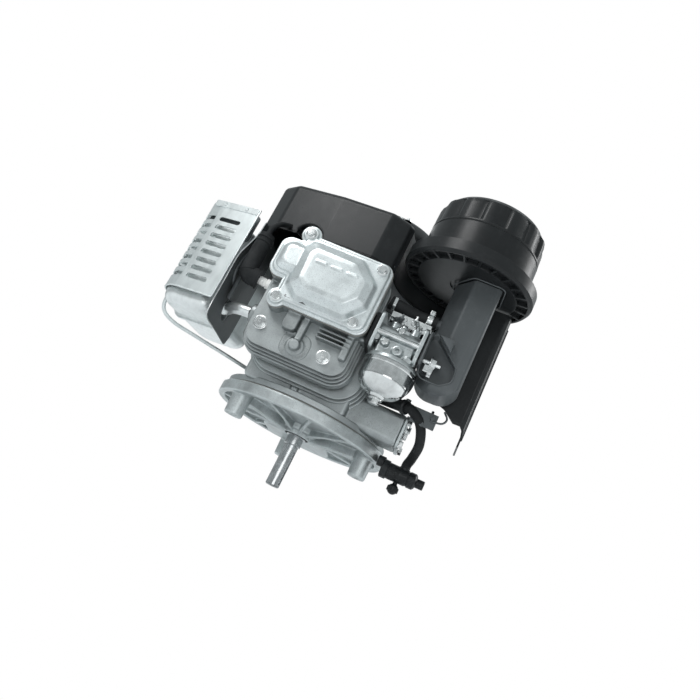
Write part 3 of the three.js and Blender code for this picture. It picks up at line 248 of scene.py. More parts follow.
def pipe(points, radius, sides=16, per=8):
    """A round tube along a smooth curve; the radius may be a rule of the share of the way."""
    way = curve_points(points, per)
    normal = (way[1] - way[0]).orthogonal().normalized()
    rings = []
    for k, point in enumerate(way):
        ahead = (way[min(k + 1, len(way) - 1)] - way[max(k - 1, 0)]).normalized()
        normal = (normal - ahead * normal.dot(ahead)).normalized()
        other = ahead.cross(normal)
        size = radius(k / (len(way) - 1)) if callable(radius) else radius
        rings.append([tuple(point + (normal * math.cos(t) + other * math.sin(t)) * size)
                      for t in (2 * math.pi * j / sides for j in range(sides))])
    return stacked(rings)


def hexagon(radius, low, high, at, axis="z"):
    outline = [(radius * math.cos(math.radians(60 * k + 15)), radius * math.sin(math.radians(60 * k + 15)))
               for k in range(6)]
    return slab(soften(outline, 0.6, 1), low, high, axis, 0.2, 0.7, 2).moved(*at)


# ------------------------------------------------------------------ from shapes to pieces
def mesh_object(name, shape):
    mesh = bpy.data.meshes.new(name)
    mesh.from_pydata([Vector(p) * MM for p in shape.points], [], shape.faces)
    work = bmesh.new()
    work.from_mesh(mesh)
    bmesh.ops.remove_doubles(work, verts=work.verts, dist=2e-6)
    bmesh.ops.dissolve_degenerate(work, edges=work.edges, dist=1e-6)
    bmesh.ops.recalc_face_normals(work, faces=work.faces)
    work.to_mesh(mesh)
    work.free()
    made = bpy.data.objects.new(name, mesh)
    bpy.context.scene.collection.objects.link(made)
    return made


def settled(made):
    """Applies every modifier by taking the evaluated mesh, and clears them."""
    graph = bpy.context.evaluated_depsgraph_get()
    graph.update()
    mesh = bpy.data.meshes.new_from_object(made.evaluated_get(graph))
    made.modifiers.clear()
    old = made.data
    made.data = mesh
    bpy.data.meshes.remove(old)
    return made


def drop(*objects):
    for item in objects:
        mesh = item.data
        bpy.data.objects.remove(item)
        bpy.data.meshes.remove(mesh)


def carved(made, *tools, solver="EXACT"):
    """Cuts closed tools out of a piece, one after another."""
    for tool in tools:
        step = made.modifiers.new("cut", "BOOLEAN")
        step.operation = "DIFFERENCE"
        step.solver = solver
        step.object = tool
    settled(made)
    drop(*tools)
    return made


def cast(made, voxel, passes=3, flat=2.0):
    """Melts overlapping shells into one skin with soft inside and outside corners."""
    melt = made.modifiers.new("melt", "REMESH")
    melt.mode = "VOXEL"
    melt.voxel_size = voxel * MM
    soft = made.modifiers.new("soft", "SMOOTH")
    soft.factor = 0.5
    soft.iterations = passes
    thin = made.modifiers.new("thin", "DECIMATE")
    if flat:
        thin.decimate_type = "DISSOLVE"
        thin.angle_limit = math.radians(flat)
        tri = made.modifiers.new("tri", "TRIANGULATE")
        tri.min_vertices = 5
    else:
        thin.ratio = 0.45
    return settled(made)


def piece(made, finish, body=BLOCK, cad=(), sharp=38):
    """Gives a finished mesh its material, its smooth faces and its body."""
    made.data.materials.clear()
    made.data.materials.append(finish.material)
    made.data.shade_smooth()
    made.data.set_sharp_from_angle(angle=math.radians(sharp))
    weigh = made.modifiers.new("weigh", "WEIGHTED_NORMAL")
    weigh.keep_sharp = True
    settled(made)
    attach(made, body)
    if cad:
        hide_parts(*cad)
    return made


def part(name, shape, finish, body=BLOCK, slot=None, cad=(), sharp=38):
    return piece(mesh_object(name, shape), finish, body, cad, sharp)


# ------------------------------------------------------------------ repeated shapes by Geometry Nodes
class Tree:
    """A small Geometry Nodes tree with named inputs."""

    def __init__(self, name, inputs):
        self.group = bpy.data.node_groups.new(name, "GeometryNodeTree")
        face = self.group.interface
        face.new_socket("Geometry", in_out="INPUT", socket_type="NodeSocketGeometry")
        self.names = {}
        for label, kind, default in inputs:
            socket = face.new_socket(label, in_out="INPUT", socket_type="NodeSocket" + kind)
            if default is not None:
                socket.default_value = default
            self.names[label] = socket.identifier
        face.new_socket("Geometry", in_out="OUTPUT", socket_type="NodeSocketGeometry")
        self.source = self.group.nodes.new("NodeGroupInput")

    def node(self, kind, settings=None, **links):
        """Adds a node; links names sockets, with _ for a space, or s0, s1 for a place."""
        made = self.group.nodes.new(kind)
        for key, value in (settings or {}).items():
            setattr(made, key, value)
        for key, value in links.items():
            place = key[1:]
            socket = made.inputs[int(place)] if place.isdigit() else made.inputs[key.replace("_", " ")]
            if isinstance(value, bpy.types.NodeSocket):
                self.group.links.new(value, socket)
            else:
                socket.default_value = value
        return made.outputs[0] if made.outputs else None

    def given(self, label):
        return self.source.outputs[label]

    def close(self, geometry):
        """Ends the tree in plain mesh with its material."""
        plain = self.node("GeometryNodeRealizeInstances", Geometry=geometry)
        dressed = self.node("GeometryNodeSetMaterial", Geometry=plain, Material=self.given("Material"))
        self.node("NodeGroupOutput", s0=dressed)
        return self


def row_tree():
    """Copies of a mesh in a straight row."""
    tree = Tree("Row of copies", [("Count", "Int", 4), ("Step", "Vector", None), ("Material", "Material",
                                                                                  None)])
    line = tree.node("GeometryNodeMeshLine", {"mode": "OFFSET"}, Count=tree.given("Count"),
                     Offset=tree.given("Step"))
    return tree.close(tree.node("GeometryNodeInstanceOnPoints", Points=line, Instance=tree.given("Geometry")))


def ring_tree():
    """Copies of a mesh turned about a vertical axis through a centre."""
    tree = Tree("Ring of copies", [("Count", "Int", 12), ("Step", "Float", 0.5), ("First", "Float", 0.0),
                                   ("Centre", "Vector", None), ("Material", "Material", None)])
    line = tree.node("GeometryNodeMeshLine", {"mode": "OFFSET"}, Count=tree.given("Count"),
                     Offset=(0, 0, 0))
    spot = tree.node("GeometryNodeSetPosition", Geometry=line, Position=tree.given("Centre"))
    turn = tree.node("ShaderNodeMath", {"operation": "MULTIPLY_ADD"}, s0=tree.node("GeometryNodeInputIndex"),
                     s1=tree.given("Step"), s2=tree.given("First"))
    spin = tree.node("ShaderNodeCombineXYZ", Z=turn)
    return tree.close(tree.node("GeometryNodeInstanceOnPoints", Points=spot, Instance=tree.given("Geometry"),
                                Rotation=spin))


def bolt_tree():
    """A flanged hexagon bolt head on every point of a mesh."""
    tree = Tree("Flanged bolts", [("Head radius", "Float", 0.005), ("Head height", "Float", 0.005),
                                  ("Flange radius", "Float", 0.007), ("Turn", "Vector", None),
                                  ("Material", "Material", None)])
    head = tree.node("GeometryNodeMeshCylinder", {"fill_type": "NGON"}, Vertices=6,
                     Radius=tree.given("Head radius"), Depth=tree.given("Head height"))
    half = tree.node("ShaderNodeMath", {"operation": "MULTIPLY"}, s0=tree.given("Head height"), s1=0.5)
    lift = tree.node("ShaderNodeCombineXYZ", Z=half)
    raised = tree.node("GeometryNodeTransform", Geometry=head, Translation=lift)
    flange = tree.node("GeometryNodeMeshCone", {"fill_type": "NGON"}, Vertices=28,
                       Radius_Top=tree.given("Head radius"), Radius_Bottom=tree.given("Flange radius"),
                       Depth=0.0013)
    both = tree.group.nodes.new("GeometryNodeJoinGeometry")
    tree.group.links.new(flange, both.inputs[0])
    tree.group.links.new(raised, both.inputs[0])
    return tree.close(tree.node("GeometryNodeInstanceOnPoints", Points=tree.given("Geometry"),
                                Instance=both.outputs[0], Rotation=tree.given("Turn")))


def grown(made, tree, material, **values):
    """Runs a tree on a piece, with sizes set on its named inputs, and keeps the plain mesh."""
    step = made.modifiers.new("grow", "NODES")
    step.node_group = tree.group
    step[tree.names["Material"]] = material
    for label, value in values.items():
        step[tree.names[label.replace("_", " ")]] = value
    return settled(made)


def bolts(name, places, axis, radius, height, finish, body=BLOCK, cad=(), flange=1.35):
    """One piece of like bolts, whose heads point along an axis."""
    made = mesh_object(name, Shape([tuple(p) for p in places]))
    turns = {"-Y": (math.pi / 2, 0, 0), "+X": (0, math.pi / 2, 0), "+Z": (0, 0, 0), "-X": (0, -math.pi / 2,
                                                                                           0),
             "-Z": (math.pi, 0, 0)}
    grown(made, TREES["bolt"], finish.material, Head_radius=radius * MM, Head_height=height * MM,
          Flange_radius=radius * flange * MM, Turn=turns[axis])
    edge = made.modifiers.new("edge", "BEVEL")
    edge.width = 0.35 * MM
    edge.segments = 2
    settled(made)
    return piece(made, finish, body, cad)


TREES = {}


# ------------------------------------------------------------------ finishes
class Value:
    """A socket that can be used in sums; every operation adds a Math node."""

    def __init__(self, finish, socket):
        self.finish = finish
        self.socket = socket

    def _sum(self, operation, first, second):
        return self.finish.node("ShaderNodeMath", {"operation": operation}, s0=first, s1=second)

    def __add__(self, other):
        return self._sum("ADD", self, other)

    def __radd__(self, other):
        return self._sum("ADD", other, self)

    def __sub__(self, other):
        return self._sum("SUBTRACT", self, other)

    def __rsub__(self, other):
        return self._sum("SUBTRACT", other, self)

    def __mul__(self, other):
        return self._sum("MULTIPLY", self, other)

    def __rmul__(self, other):
        return self._sum("MULTIPLY", other, self)

    def __truediv__(self, other):
        return self._sum("DIVIDE", self, other)


class Finish:
    """A material built from one Principled shader and the nodes that feed it."""

    def __init__(self, name):
        self.material = bpy.data.materials.new(name)
        self.material.use_nodes = True
        self.tree = self.material.node_tree
        self.shader = self.tree.nodes["Principled BSDF"]
        self.place = self.node("ShaderNodeTexCoord", output="Object")

    def node(self, kind, settings=None, output=0, **links):
        made = self.tree.nodes.new(kind)
        for key, value in (settings or {}).items():
            if key == "stops":
                ramp = made.color_ramp
                while len(ramp.elements) < len(value):
                    ramp.elements.new(0.5)
                for element, (spot, shade) in zip(ramp.elements, value):
                    element.position = spot
                    element.color = (*shade, 1) if isinstance(shade, tuple) else (shade, shade, shade, 1)
            else:
                setattr(made, key, value)
        for key, value in links.items():
            place = key[1:]
            socket = made.inputs[int(place)] if place.isdigit() else made.inputs[key.replace("_", " ")]
            if isinstance(value, Value):
                self.tree.links.new(value.socket, socket)
            else:
                socket.default_value = value
        return Value(self, made.outputs[output])

    def noise(self, size, detail=3.0, rough=0.55, along=None):
        """Noise whose lumps are about a size in millimetres; along stretches it."""
        place = self.place
        if along:
            place = self.node("ShaderNodeVectorMath", {"operation": "MULTIPLY"}, s0=place, s1=along)
        return self.node("ShaderNodeTexNoise", Vector=place, Scale=1000 / size, Detail=detail,
                         Roughness=rough)

    def ramp(self, value, *stops):
        return self.node("ShaderNodeValToRGB", {"stops": stops}, Fac=value)

    def blend(self, share, first, second):
        """Mixes two colours by a share."""
        colours = [c if isinstance(c, Value) else (*c, 1) for c in (first, second)]
        return self.node("ShaderNodeMix", {"data_type": "RGBA"}, output=2, s0=share, s6=colours[0],
                         s7=colours[1])

    def edges(self, spread=6.0):
        """Near 1 on outward corners, from how the surface turns."""
        point = self.node("ShaderNodeNewGeometry", output="Pointiness")
        return self.ramp(point, (0.5, 0.0), (0.5 + spread / 100, 1.0))

    def set(self, **values):
        for key, value in values.items():
            socket = self.shader.inputs[key.replace("_", " ")]
            if isinstance(value, Value):
                self.tree.links.new(value.socket, socket)
            else:
                socket.default_value = (*value, 1) if isinstance(value, tuple) and len(value) == 3 else value

    def bump(self, *layers):
        """Stacks bumps, each a height, its strength and its depth in millimetres."""
        normal = None
        for height, strength, depth in layers:
            links = {"Height": height, "Strength": strength, "Distance": depth * MM}
            if normal:
                links["Normal"] = normal
            normal = self.node("ShaderNodeBump", **links)
        self.set(Normal=normal)


def shade(colour, factor):
    return tuple(min(1.0, c * factor) for c in colour)


def cast_metal(name, colour, rough=0.42, grain=0.35, metal=0.85, dirt=0.35):
    made = Finish(name)
    sand = made.noise(0.9, 4, 0.6)
    pits = made.noise(0.35, 2, 0.5)
    cloud = made.noise(26, 4, 0.6)
    tone = made.ramp(cloud, (0.34, shade(colour, 1 - dirt)), (0.52, colour), (0.68, shade(colour, 1.16)))
    speck = made.ramp(sand, (0.36, 0.0), (0.46, 1.0))
    base = made.blend(speck, shade(colour, 0.66), tone)
    made.set(Base_Color=made.blend(made.edges() * 0.55, base, shade(colour, 1.45)),
             Roughness=rough + (cloud - 0.5) * 0.3 + (sand - 0.5) * 0.22, Metallic=metal)
    made.bump((sand, grain, 0.22), (pits, grain * 0.7, 0.1))
    return made


def turned_metal(name, colour, rough=0.28, along=(1, 1, 14), metal=1.0):
    made = Finish(name)
    lines = made.noise(5.0, 3, 0.6, along)
    haze = made.noise(14, 3)
    made.set(Base_Color=made.blend(made.ramp(haze, (0.35, 0.0), (0.7, 1.0)), shade(colour, 0.78),
                                   shade(colour, 1.1)),
             Roughness=rough + (lines - 0.5) * 0.22 + (haze - 0.5) * 0.2, Metallic=metal)
    made.bump((lines, 0.14, 0.05))
    return made


def pressed_metal(name, colour, rough=0.3, metal=0.9):
    made = Finish(name)
    wave = made.noise(34, 2, 0.4)
    fine = made.noise(0.7, 3, 0.6)
    smear = made.noise(9, 4, 0.65, (1, 1, 0.35))
    tone = made.ramp(smear, (0.3, shade(colour, 0.84)), (0.55, colour), (0.78, shade(colour, 1.08)))
    made.set(Base_Color=made.blend(made.edges(9) * 0.5, tone, shade(colour, 1.3)),
             Roughness=rough + (smear - 0.5) * 0.25, Metallic=metal)
    made.bump((wave, 0.12, 0.5), (fine, 0.06, 0.05))
    return made


def moulded(name, colour, rough=0.38, grain=0.12, coat=0.0):
    made = Finish(name)
    peel = made.noise(1.3, 2, 0.5)
    wave = made.noise(40, 2, 0.4)
    dust = made.noise(11, 5, 0.65)
    made.set(Base_Color=made.blend(made.edges(8) * 0.4 + made.ramp(dust, (0.5, 0.0), (0.8, 0.35)), colour,
                                   tuple(c * 1.7 + 0.012 for c in colour)),
             Roughness=rough + (dust - 0.5) * 0.2 + (peel - 0.5) * 0.08)
    if coat:
        made.set(Coat_Weight=coat, Coat_Roughness=0.2)
    made.bump((wave, 0.08, 0.6), (peel, grain, 0.08))
    made.set(Specular_IOR_Level=0.26)
    return made


def rubber_finish(name, colour):
    made = Finish(name)
    skin = made.noise(0.8, 4, 0.6)
    bloom = made.noise(15, 4, 0.6)
    made.set(Base_Color=made.ramp(bloom, (0.35, colour), (0.75, tuple(c * 1.6 + 0.01 for c in colour))),
             Roughness=0.62 + (bloom - 0.5) * 0.3)
    made.bump((skin, 0.3, 0.12))
    made.set(Specular_IOR_Level=0.2)
    return made


def pleated(name, colour):
    made = Finish(name)
    fibre = made.noise(0.6, 4, 0.7)
    made.set(Base_Color=made.ramp(fibre, (0.3, shade(colour, 0.75)), (0.7, shade(colour, 1.1))),
             Roughness=0.9)
    made.bump((fibre, 0.4, 0.15))
    return made


FINISH = {}


def make_finishes(colours):
    light = tuple(colours.aluminium)
    black = tuple(colours.plastic)
    FINISH.update(
        # The five castings are one cast aluminium; the factors on its colour paint light and shade into them:
        # the rocker cover painted lighter (1.2), the cylinder head painted darker (0.56), the crankcase
        # painted darker (0.72), the sump and the carburettor painted a little darker (0.95, 0.9).
        cover=cast_metal("cover_casting_painted_light", shade(light, 1.2), 0.36, 0.22, 0.8, 0.12),
        head=cast_metal("head_casting_painted_shade", shade(light, 0.56), 0.44, 0.4, 0.85, 0.3),
        case=cast_metal("case_casting_painted_shade", shade(light, 0.72), 0.42, 0.36, 0.85, 0.25),
        sump=cast_metal("sump_casting", shade(light, 0.95), 0.4, 0.34, 0.8, 0.25),
        carb=cast_metal("carburettor_casting", shade(light, 0.9), 0.34, 0.2, 0.9, 0.3),
        iron=cast_metal("cast_iron", (0.16, 0.165, 0.17), 0.5, 0.5, 0.8, 0.3),
        steel=turned_metal("turned_steel", (0.62, 0.64, 0.65), 0.24),
        zinc=turned_metal("zinc_plate", (0.78, 0.8, 0.8), 0.22, (1, 1, 1)),
        bowl=turned_metal("bowl_steel", (0.8, 0.82, 0.82), 0.14, (0.3, 0.3, 6)),
        guard=pressed_metal("guard_steel", (0.66, 0.7, 0.7), 0.36, 0.75),
        muffler=pressed_metal("muffler_steel", (0.78, 0.82, 0.82), 0.32, 0.85),
        plate=pressed_metal("dark_steel", (0.1, 0.11, 0.115), 0.42, 0.35),
        black=moulded("black_plastic", black, 0.33),
        duct=moulded("duct_plastic", tuple(colours.duct), 0.42),
        rubber=rubber_finish("black_rubber", shade(black, 0.9)),
        paper=pleated("gasket_paper", (0.3, 0.29, 0.27)),
        pleats=pleated("filter_paper", (0.72, 0.68, 0.55)),
        brass=turned_metal("brass", (0.75, 0.58, 0.28), 0.25),
        glaze=moulded("glazed_ceramic", (0.82, 0.82, 0.8), 0.16, 0.03, 0.6),
    )


BY_SLOT = {
    "cast_aluminium": "case", "machined_steel": "steel", "zinc_plate": "zinc", "dark_steel": "plate",
    "cast_iron": "iron", "bright_steel": "muffler", "black_plastic": "black", "grey_plastic": "duct",
    "black_rubber": "rubber", "gasket_paper": "paper", "brass": "brass", "ceramic": "glaze",
    "filter_paper": "pleats",
}


# ------------------------------------------------------------------ sizes and colours for the sidebar
class EngineSizes(bpy.types.PropertyGroup):
    """Counts and sizes that a user would change."""

    rib_count: IntProperty(name="Sump ribs", description="Radial ribs under the sump", default=12, min=3,
                           max=36)
    fin_count: IntProperty(name="Barrel fins", description="Cooling fins on the barrel", default=6, min=2,
                           max=9)
    fin_thickness: FloatProperty(name="Fin thickness", description="Thickness of every cooling fin",
                                 default=0.0026, min=0.001, max=0.006, subtype="DISTANCE", unit="LENGTH")
    slot_rows: IntProperty(name="Guard slots", description="Rows of slots in the muffler guard", default=8,
                           min=1, max=10)
    vane_count: IntProperty(name="Filter vanes", description="Louvres round the filter cap", default=14,
                            min=4, max=30)
    intake_slots: IntProperty(name="Intake slots", description="Air slots in the recoil cover", default=28,
                              min=6, max=48)
    casting_detail: FloatProperty(name="Casting detail", description="Grid size of the cast skins",
                                  default=0.0009, min=0.0005, max=0.003, subtype="DISTANCE", unit="LENGTH")


class EngineColours(bpy.types.PropertyGroup):
    """Colours of the main finishes."""

    aluminium: FloatVectorProperty(name="Aluminium", description="Cast aluminium", subtype="COLOR", size=3,
                                   default=(0.56, 0.6, 0.605), min=0, max=1)
    plastic: FloatVectorProperty(name="Black plastic", description="Covers and hoses", subtype="COLOR",
                                 size=3,
                                 default=(0.012, 0.0135, 0.0145), min=0, max=1)
    duct: FloatVectorProperty(name="Duct", description="Air duct", subtype="COLOR", size=3,
                              default=(0.075, 0.083, 0.087), min=0, max=1)
    floor: FloatVectorProperty(name="Floor", description="Studio floor", subtype="COLOR", size=3,
                               default=(0.9, 0.91, 0.92), min=0, max=1)


def joined(first, *others):
    """Puts other meshes into the first one."""
    work = bmesh.new()
    work.from_mesh(first.data)
    for other in others:
        work.from_mesh(other.data)
    work.to_mesh(first.data)
    work.free()
    drop(*others)
    return first


def strip(path, thickness):
    """The closed outline of a sheet that follows a path."""
    def side(shift):
        result = []
        for k, point in enumerate(path):
            a = Vector(path[max(k - 1, 0)])
            b = Vector(path[min(k + 1, len(path) - 1)])
            way = (b - a).normalized()
            result.append((point[0] - way.y * shift, point[1] + way.x * shift))
        return result
    return list(path) + side(thickness)[::-1]


# ------------------------------------------------------------------ castings
COVER_BOLTS = [(-61, 225), (38, 215), (-63, 134), (34, 140)]


def cover_base(low, high, grow=0.0, edge=1.0):
    shapes = [slab(inset(rounded(-68, 52, 128, 226, 14), -grow), low, high, "y", edge, edge),
              slab(inset(rounded(-91, -40, 159, 214, 14), -grow), low, high, "y", edge, edge)]
    for x, z in (COVER_BOLTS[0], COVER_BOLTS[2]):
        shapes.append(slab([(x + a, z + b) for a, b in arc(0, 0, 12.5 + grow, 0, 347, 28)], low, high, "y",
                           edge, edge))
    return whole(*shapes)


def build_rocker_cover(sizes):
    front = -168.0
    skirt = cover_base(front - 4, front)
    step = whole(slab(rounded(-64, 48, 132, 222, 12), front - 7.5, front - 3, "y", 2.2, 0),
                 slab(rounded(-87, -44, 163, 210, 12), front - 7.5, front - 3, "y", 2.2, 0))
    foot = [(-52, 217), (14, 217), (42, 192), (42, 160), (22, 137), (-42, 137), (-60, 152), (-62, 204)]
    brow = [(-43, 207), (10, 207), (31, 188), (31, 165), (17, 149), (-36, 149), (-48, 160), (-50, 197)]
    mid = [tuple((Vector(a) * 0.45 + Vector(b) * 0.55)) for a, b in zip(foot, brow)]
    dome = loft([(soften(foot, 9), front - 3), (soften(foot, 9), front - 8), (soften(inset(mid, -2), 9),
                                                                              front - 15),
                 (soften(brow, 9), front - 19), (soften(inset(brow, 2.5), 8), front - 20.6),
                 (soften(inset(brow, 8), 6), front - 21.2)], "y")
    lobe = loft([(rounded(-84, -50, 166, 207, 11), front - 3), (rounded(-83, -50, 167, 206, 11), front - 10),
                 (rounded(-78, -50, 172, 201, 9), front - 14), (rounded(-75, -50, 175, 198, 8), front - 15)],
                 "y")
    ear = whole(*[rod((x, front, z), (x, front - 7.6, z), 9.5, 9.0, 0.8, 32) for x, z in COVER_BOLTS])
    bars = whole(*[slab(rounded(x, x + 14, 187, 190.5, 1.6), front - 22, front - 19, "y", 1.0, 0)
                   for x in (-36, -16, 4)])
    made = mesh_object("rocker_cover_skin", whole(skirt, step, dome, lobe, ear, bars))
    cast(made, sizes.casting_detail * 1000 * 0.85, 4, 1.5)
    piece(made, FINISH["cover"], BLOCK, ["rocker_cover"], 60)
    bolts("cover_bolt_heads", [(x, front - 7.6, z) for x, z in COVER_BOLTS], "-Y", 5.2, 5.4, FINISH["zinc"],
          cad=[f"rocker_cover_bolt_{k}" for k in (1, 2, 3, 4)])
    gasket = mesh_object("cover_gasket", cover_base(-167.6, -166.8, 0.4, 0.1))
    piece(gasket, FINISH["paper"], BLOCK)


def build_head(sizes):
    plug = [(-60, -135.5, 154), (-86, -142.8, 154)]
    core = whole(
        slab(rounded(-78, 45, 84, 214, 14), -151.5, -132, "y", 2, 0),
        cover_base(-166.4, -150),
        slab(rounded(-39, -2, 77, 110, 12), -153.4, -150, "y", 1.2, 0),
        rod((-20, -148, 92), (-20, -155.5, 92), 13, 11.5, 1.2, 40),
        rod((-20, -150, 92), (-20, -163, 92), 7.2, 6.6, 1.2, 32),
        slab(rounded(-46, -27, 106, 130, 6), -163, -150, "y", 1.5, 0),
        box(-24, -16, -160.5, -149, 96, 129, 1.5),
        box(33, 42, -161, -149, 98, 130, 1.5),
        box(41, 53, -156, -129, 130, 170, 2.5),
        rod((-92, -136, 114), (-64, -136, 114), 13, 15, 1.2, 36),
        rod(plug[0], plug[1], 12, 12, 1, 32),
        rod((-72, -149, 103), (-72, -152, 103), 11.5, 10.5, 0.8, 32),
        rod((16, -149, 94), (16, -152, 94), 11.5, 10.5, 0.8, 32),
        *[box(-2, 40, -162, -150, z, z + 2.2, 0.6) for z in (111, 116.5, 122)])
    made = mesh_object("head_skin", core)
    cast(made, sizes.casting_detail * 1000, 3, 1.5)
    full = rounded(-92, 53, 69, 230, 26, 10)
    thin = sizes.fin_thickness * 1000
    plates = whole(slab(full, -133.4, -120.4, "y", 1.4, 0.8),
                   *[slab(inset(full, back), top - thin, top, "y", 0.9, 0.9)
                     for back, top in ((2.2, -136.9), (4.6, -143.4), (7.0, -149.9))])
    joined(made, mesh_object("head_fins", plates))
    piece(made, FINISH["head"], BLOCK, ["cylinder_head"], 45)
    bolts("head_bolt_heads", [(-72, -152, 103), (16, -152, 94)], "-Y", 6.8, 6.5, FINISH["zinc"],
          cad=["head_bolt_1", "head_bolt_2"], flange=1.5)
    washer = whole(*[ring(2.6, 1.2, -158.9, -158.4, (x, 0, z), "y", 0.1, 24) for x, z in ((-72, 103), (16,
                                                                                                       94))])
    part("head_bolt_marks", washer, FINISH["zinc"], BLOCK, "machined_steel")


def build_crankcase(sizes):
    core = whole(
        slab(rounded(-91, 66, -52, 72, 22, 8), 44, 202, "z", 0, 6),
        lathe([(0, 196), (36, 196), (34, 209), (31, 210), (0, 210)], sides=48),
        slab(rounded(-78, 60, 47.7, 96, 8), -100, -46, "y", 3, 0),
        rod((0, -119, 154), (0, -46, 154), 44, 44, 1, 64),
        box(-62, -38, -119, -46, 128, 180, 4),
        slab(rounded(-85, -35, 46.7, 88.7, 8, 6), 60, 130, "x", 0, 1.5),
        box(-14, -4, -104, -90, 44, 60, 2),
        *[box(x, x + 3, -60, 78, 60, 196, 1.2) for x in (-60, 30)],
        *[box(-94, -88, y, y + 3, 60, 190, 1.2) for y in (-20, 20)],
        *[rod((x, y, 44), (x, y, 62), 8, 7, 1) for x, y in ((-84, 60), (58, 64), (-70, -70), (52, -72))])
    made = mesh_object("crankcase_skin", core)
    cast(made, sizes.casting_detail * 1000 * 1.5, 3, 1.5)
    base = lathe(soften([(30, 43.8), (116, 43.8), (116, 52), (30, 52)], 1.2, 3), sides=128, loop=True)
    deck = slab(rounded(-84, 52, 82, 210, 18, 8), -119, -107, "y", 1, 1)
    outline = rounded(-88, 74, 54, 208, 40, 12)
    fins = [slab(inset(outline, max(0, 8 - 2.4 * k)), at - sizes.fin_thickness * 1000, at, "y", 0.9, 0.9)
            for k, at in ((k, 8.4 * k - 109.2) for k in range(sizes.fin_count))]
    joined(made, mesh_object("case_plates", whole(base, deck, *fins)))
    piece(made, FINISH["case"], BLOCK, ["crankcase"], 45)
    gasket = slab(rounded(-84.5, 52.5, 81.5, 210.5, 18, 8), -120.2, -119.2, "y", 0.1, 0.1)
    part("head_gasket_edge", gasket, FINISH["paper"], BLOCK, "gasket_paper", ["head_gasket"])
    seam = lathe(soften([(60, 42.2), (116.6, 42.2), (116.6, 43.6), (60, 43.6)], 0.2, 1), sides=128, loop=True)
    part("sump_gasket", seam, FINISH["paper"], BLOCK, "gasket_paper")
    plate = slab(rounded(-86, -34, 45.7, 89.7, 8, 6), 130.3, 134, "x", 0.6, 0.9)
    part("chest_plate", plate, FINISH["sump"], BLOCK, "cast_aluminium", ["side_chest_cover"])
    spots = [(134, y, z) for y, z in ((-80, 52), (-79, 82), (-41, 52), (-41, 82), (-66, 67))]
    bolts("chest_bolts", spots, "+X", 5, 5, FINISH["zinc"])


def build_sump(sizes):
    disc = lathe(soften([(14.6, 42), (121, 42), (121, 27), (112, 27), (112, 34), (28, 34), (27, 26), (21.5,
                                                                                                      26),
                         (21, 20), (17.3, 20), (17.3, 26.5), (14.6, 26.5)], 0.9, 2), sides=128, loop=True)
    bosses = []
    for angle in (-135, -15, 105):
        x = 101.6 * math.cos(math.radians(angle))
        y = 101.6 * math.sin(math.radians(angle))
        bosses.append(lathe(soften([(4, 0), (12, 0), (13.5, 38), (4, 38)], 0.9, 2), (x, y, 0), sides=40,
                            loop=True))
        bosses.append(slab(soften([(22, 18), (95, 22), (95, 40), (22, 40)], 1.5, 2), -3.5, 3.5, "y", 1, 1)
                      .spun(angle))
        bosses.append(slab(soften([(92, 34), (92, 8), (119, 30), (119, 36)], 1.2, 2), -2.2, 2.2, "y", 0.8,
                           0.8)
                      .spun(angle + 1.5))
    pan = slab(rounded(-58, 40, 18, 92, 14), 24, 38, "z", 3, 0)
    rib = mesh_object("rib", slab(soften([(22, 22), (60, 26), (114, 27.5), (114, 38), (22, 38)], 1.2, 2),
                                  -2, 2, "y", 0.9, 0.9))
    grown(rib, TREES["ring"], FINISH["sump"].material, Count=sizes.rib_count,
          Step=2 * math.pi / sizes.rib_count,
          First=math.radians(15), Centre=(0, 0, 0))
    made = joined(mesh_object("sump_skin", whole(disc, pan, *bosses)), rib)
    cast(made, sizes.casting_detail * 1000 * 1.15, 2, 0)
    piece(made, FINISH["sump"], BLOCK, ["sump_flange"], 50)
    lip = lathe(soften([(14.4, 20.3), (17, 20.3), (17, 26), (15.5, 26), (15.5, 22), (14.4, 21.5)], 0.2, 1),
                sides=48, loop=True)
    part("oil_seal_lip", lip, FINISH["rubber"], BLOCK, "black_rubber", ["lower_oil_seal"])


# ------------------------------------------------------------------ shaft and flywheel
def build_shaft(sizes):
    take_off = lathe([(0, -52), (3.6, -52), (8.4, -52), (9.525, -50.8), (9.525, 6.6), (10, 7), (11.5, 7.6),
                      (11.5, 19), (14, 19.6), (14, 144), (0, 144)], sides=64)
    made = mesh_object("shaft_skin", take_off)
    key = slab(rounded(-48, 0, -2.4, 2.4, 2.3, 5), 6.5, 14, "z").changed(
        Matrix.Rotation(math.radians(-20), 4, "Z") @ Matrix(((0, 0, 1, 0), (0, 1, 0, 0), (1, 0, 0, 0),
                                                             (0, 0, 0, 1))))
    carved(made, mesh_object("key_tool", key), mesh_object("centre_tool", rod((0, 0, -60), (0, 0, -40), 3.4)))
    webs = whole(lathe([(0, 132), (33, 132), (34, 133), (34, 143), (33, 144), (0, 144)], sides=64),
                 lathe([(0, 164), (33, 164), (34, 165), (34, 175), (33, 176), (0, 176)], sides=64),
                 rod((0, -22.5, 143), (0, -22.5, 165), 11, 11, 0.4, 40),
                 lathe([(0, 175), (12.5, 175), (12.5, 212), (10, 248), (6, 248.5), (6, 269), (5, 270), (0,
                                                                                                        270)],
                       sides=48))
    joined(made, mesh_object("webs", webs))
    piece(made, FINISH["steel"], "crank", ["crankshaft"])
    rim = lathe(soften([(12.8, 214), (26, 214), (26, 228), (60, 228), (60, 218), (78, 218), (78, 242), (74,
                                                                                                        246),
                        (26, 246), (26, 247), (11, 247)], 1.0, 2), sides=96, loop=True)
    wheel = mesh_object("flywheel_skin", rim)
    blade = box(46, 76, -1.3, 1.3, 245, 269, 0.6).spun(28, "Z", (61, 0, 0))
    fan = grown(mesh_object("blade", blade), TREES["ring"], FINISH["iron"].material, Count=12,
                Step=math.radians(30), First=0.0, Centre=(0, 0, 0))
    piece(joined(wheel, fan), FINISH["iron"], "crank", ["flywheel"])


# ------------------------------------------------------------------ muffler and guard
def at_guard(shape):
    return shape.spun(-15).moved(-157, -118, 0)


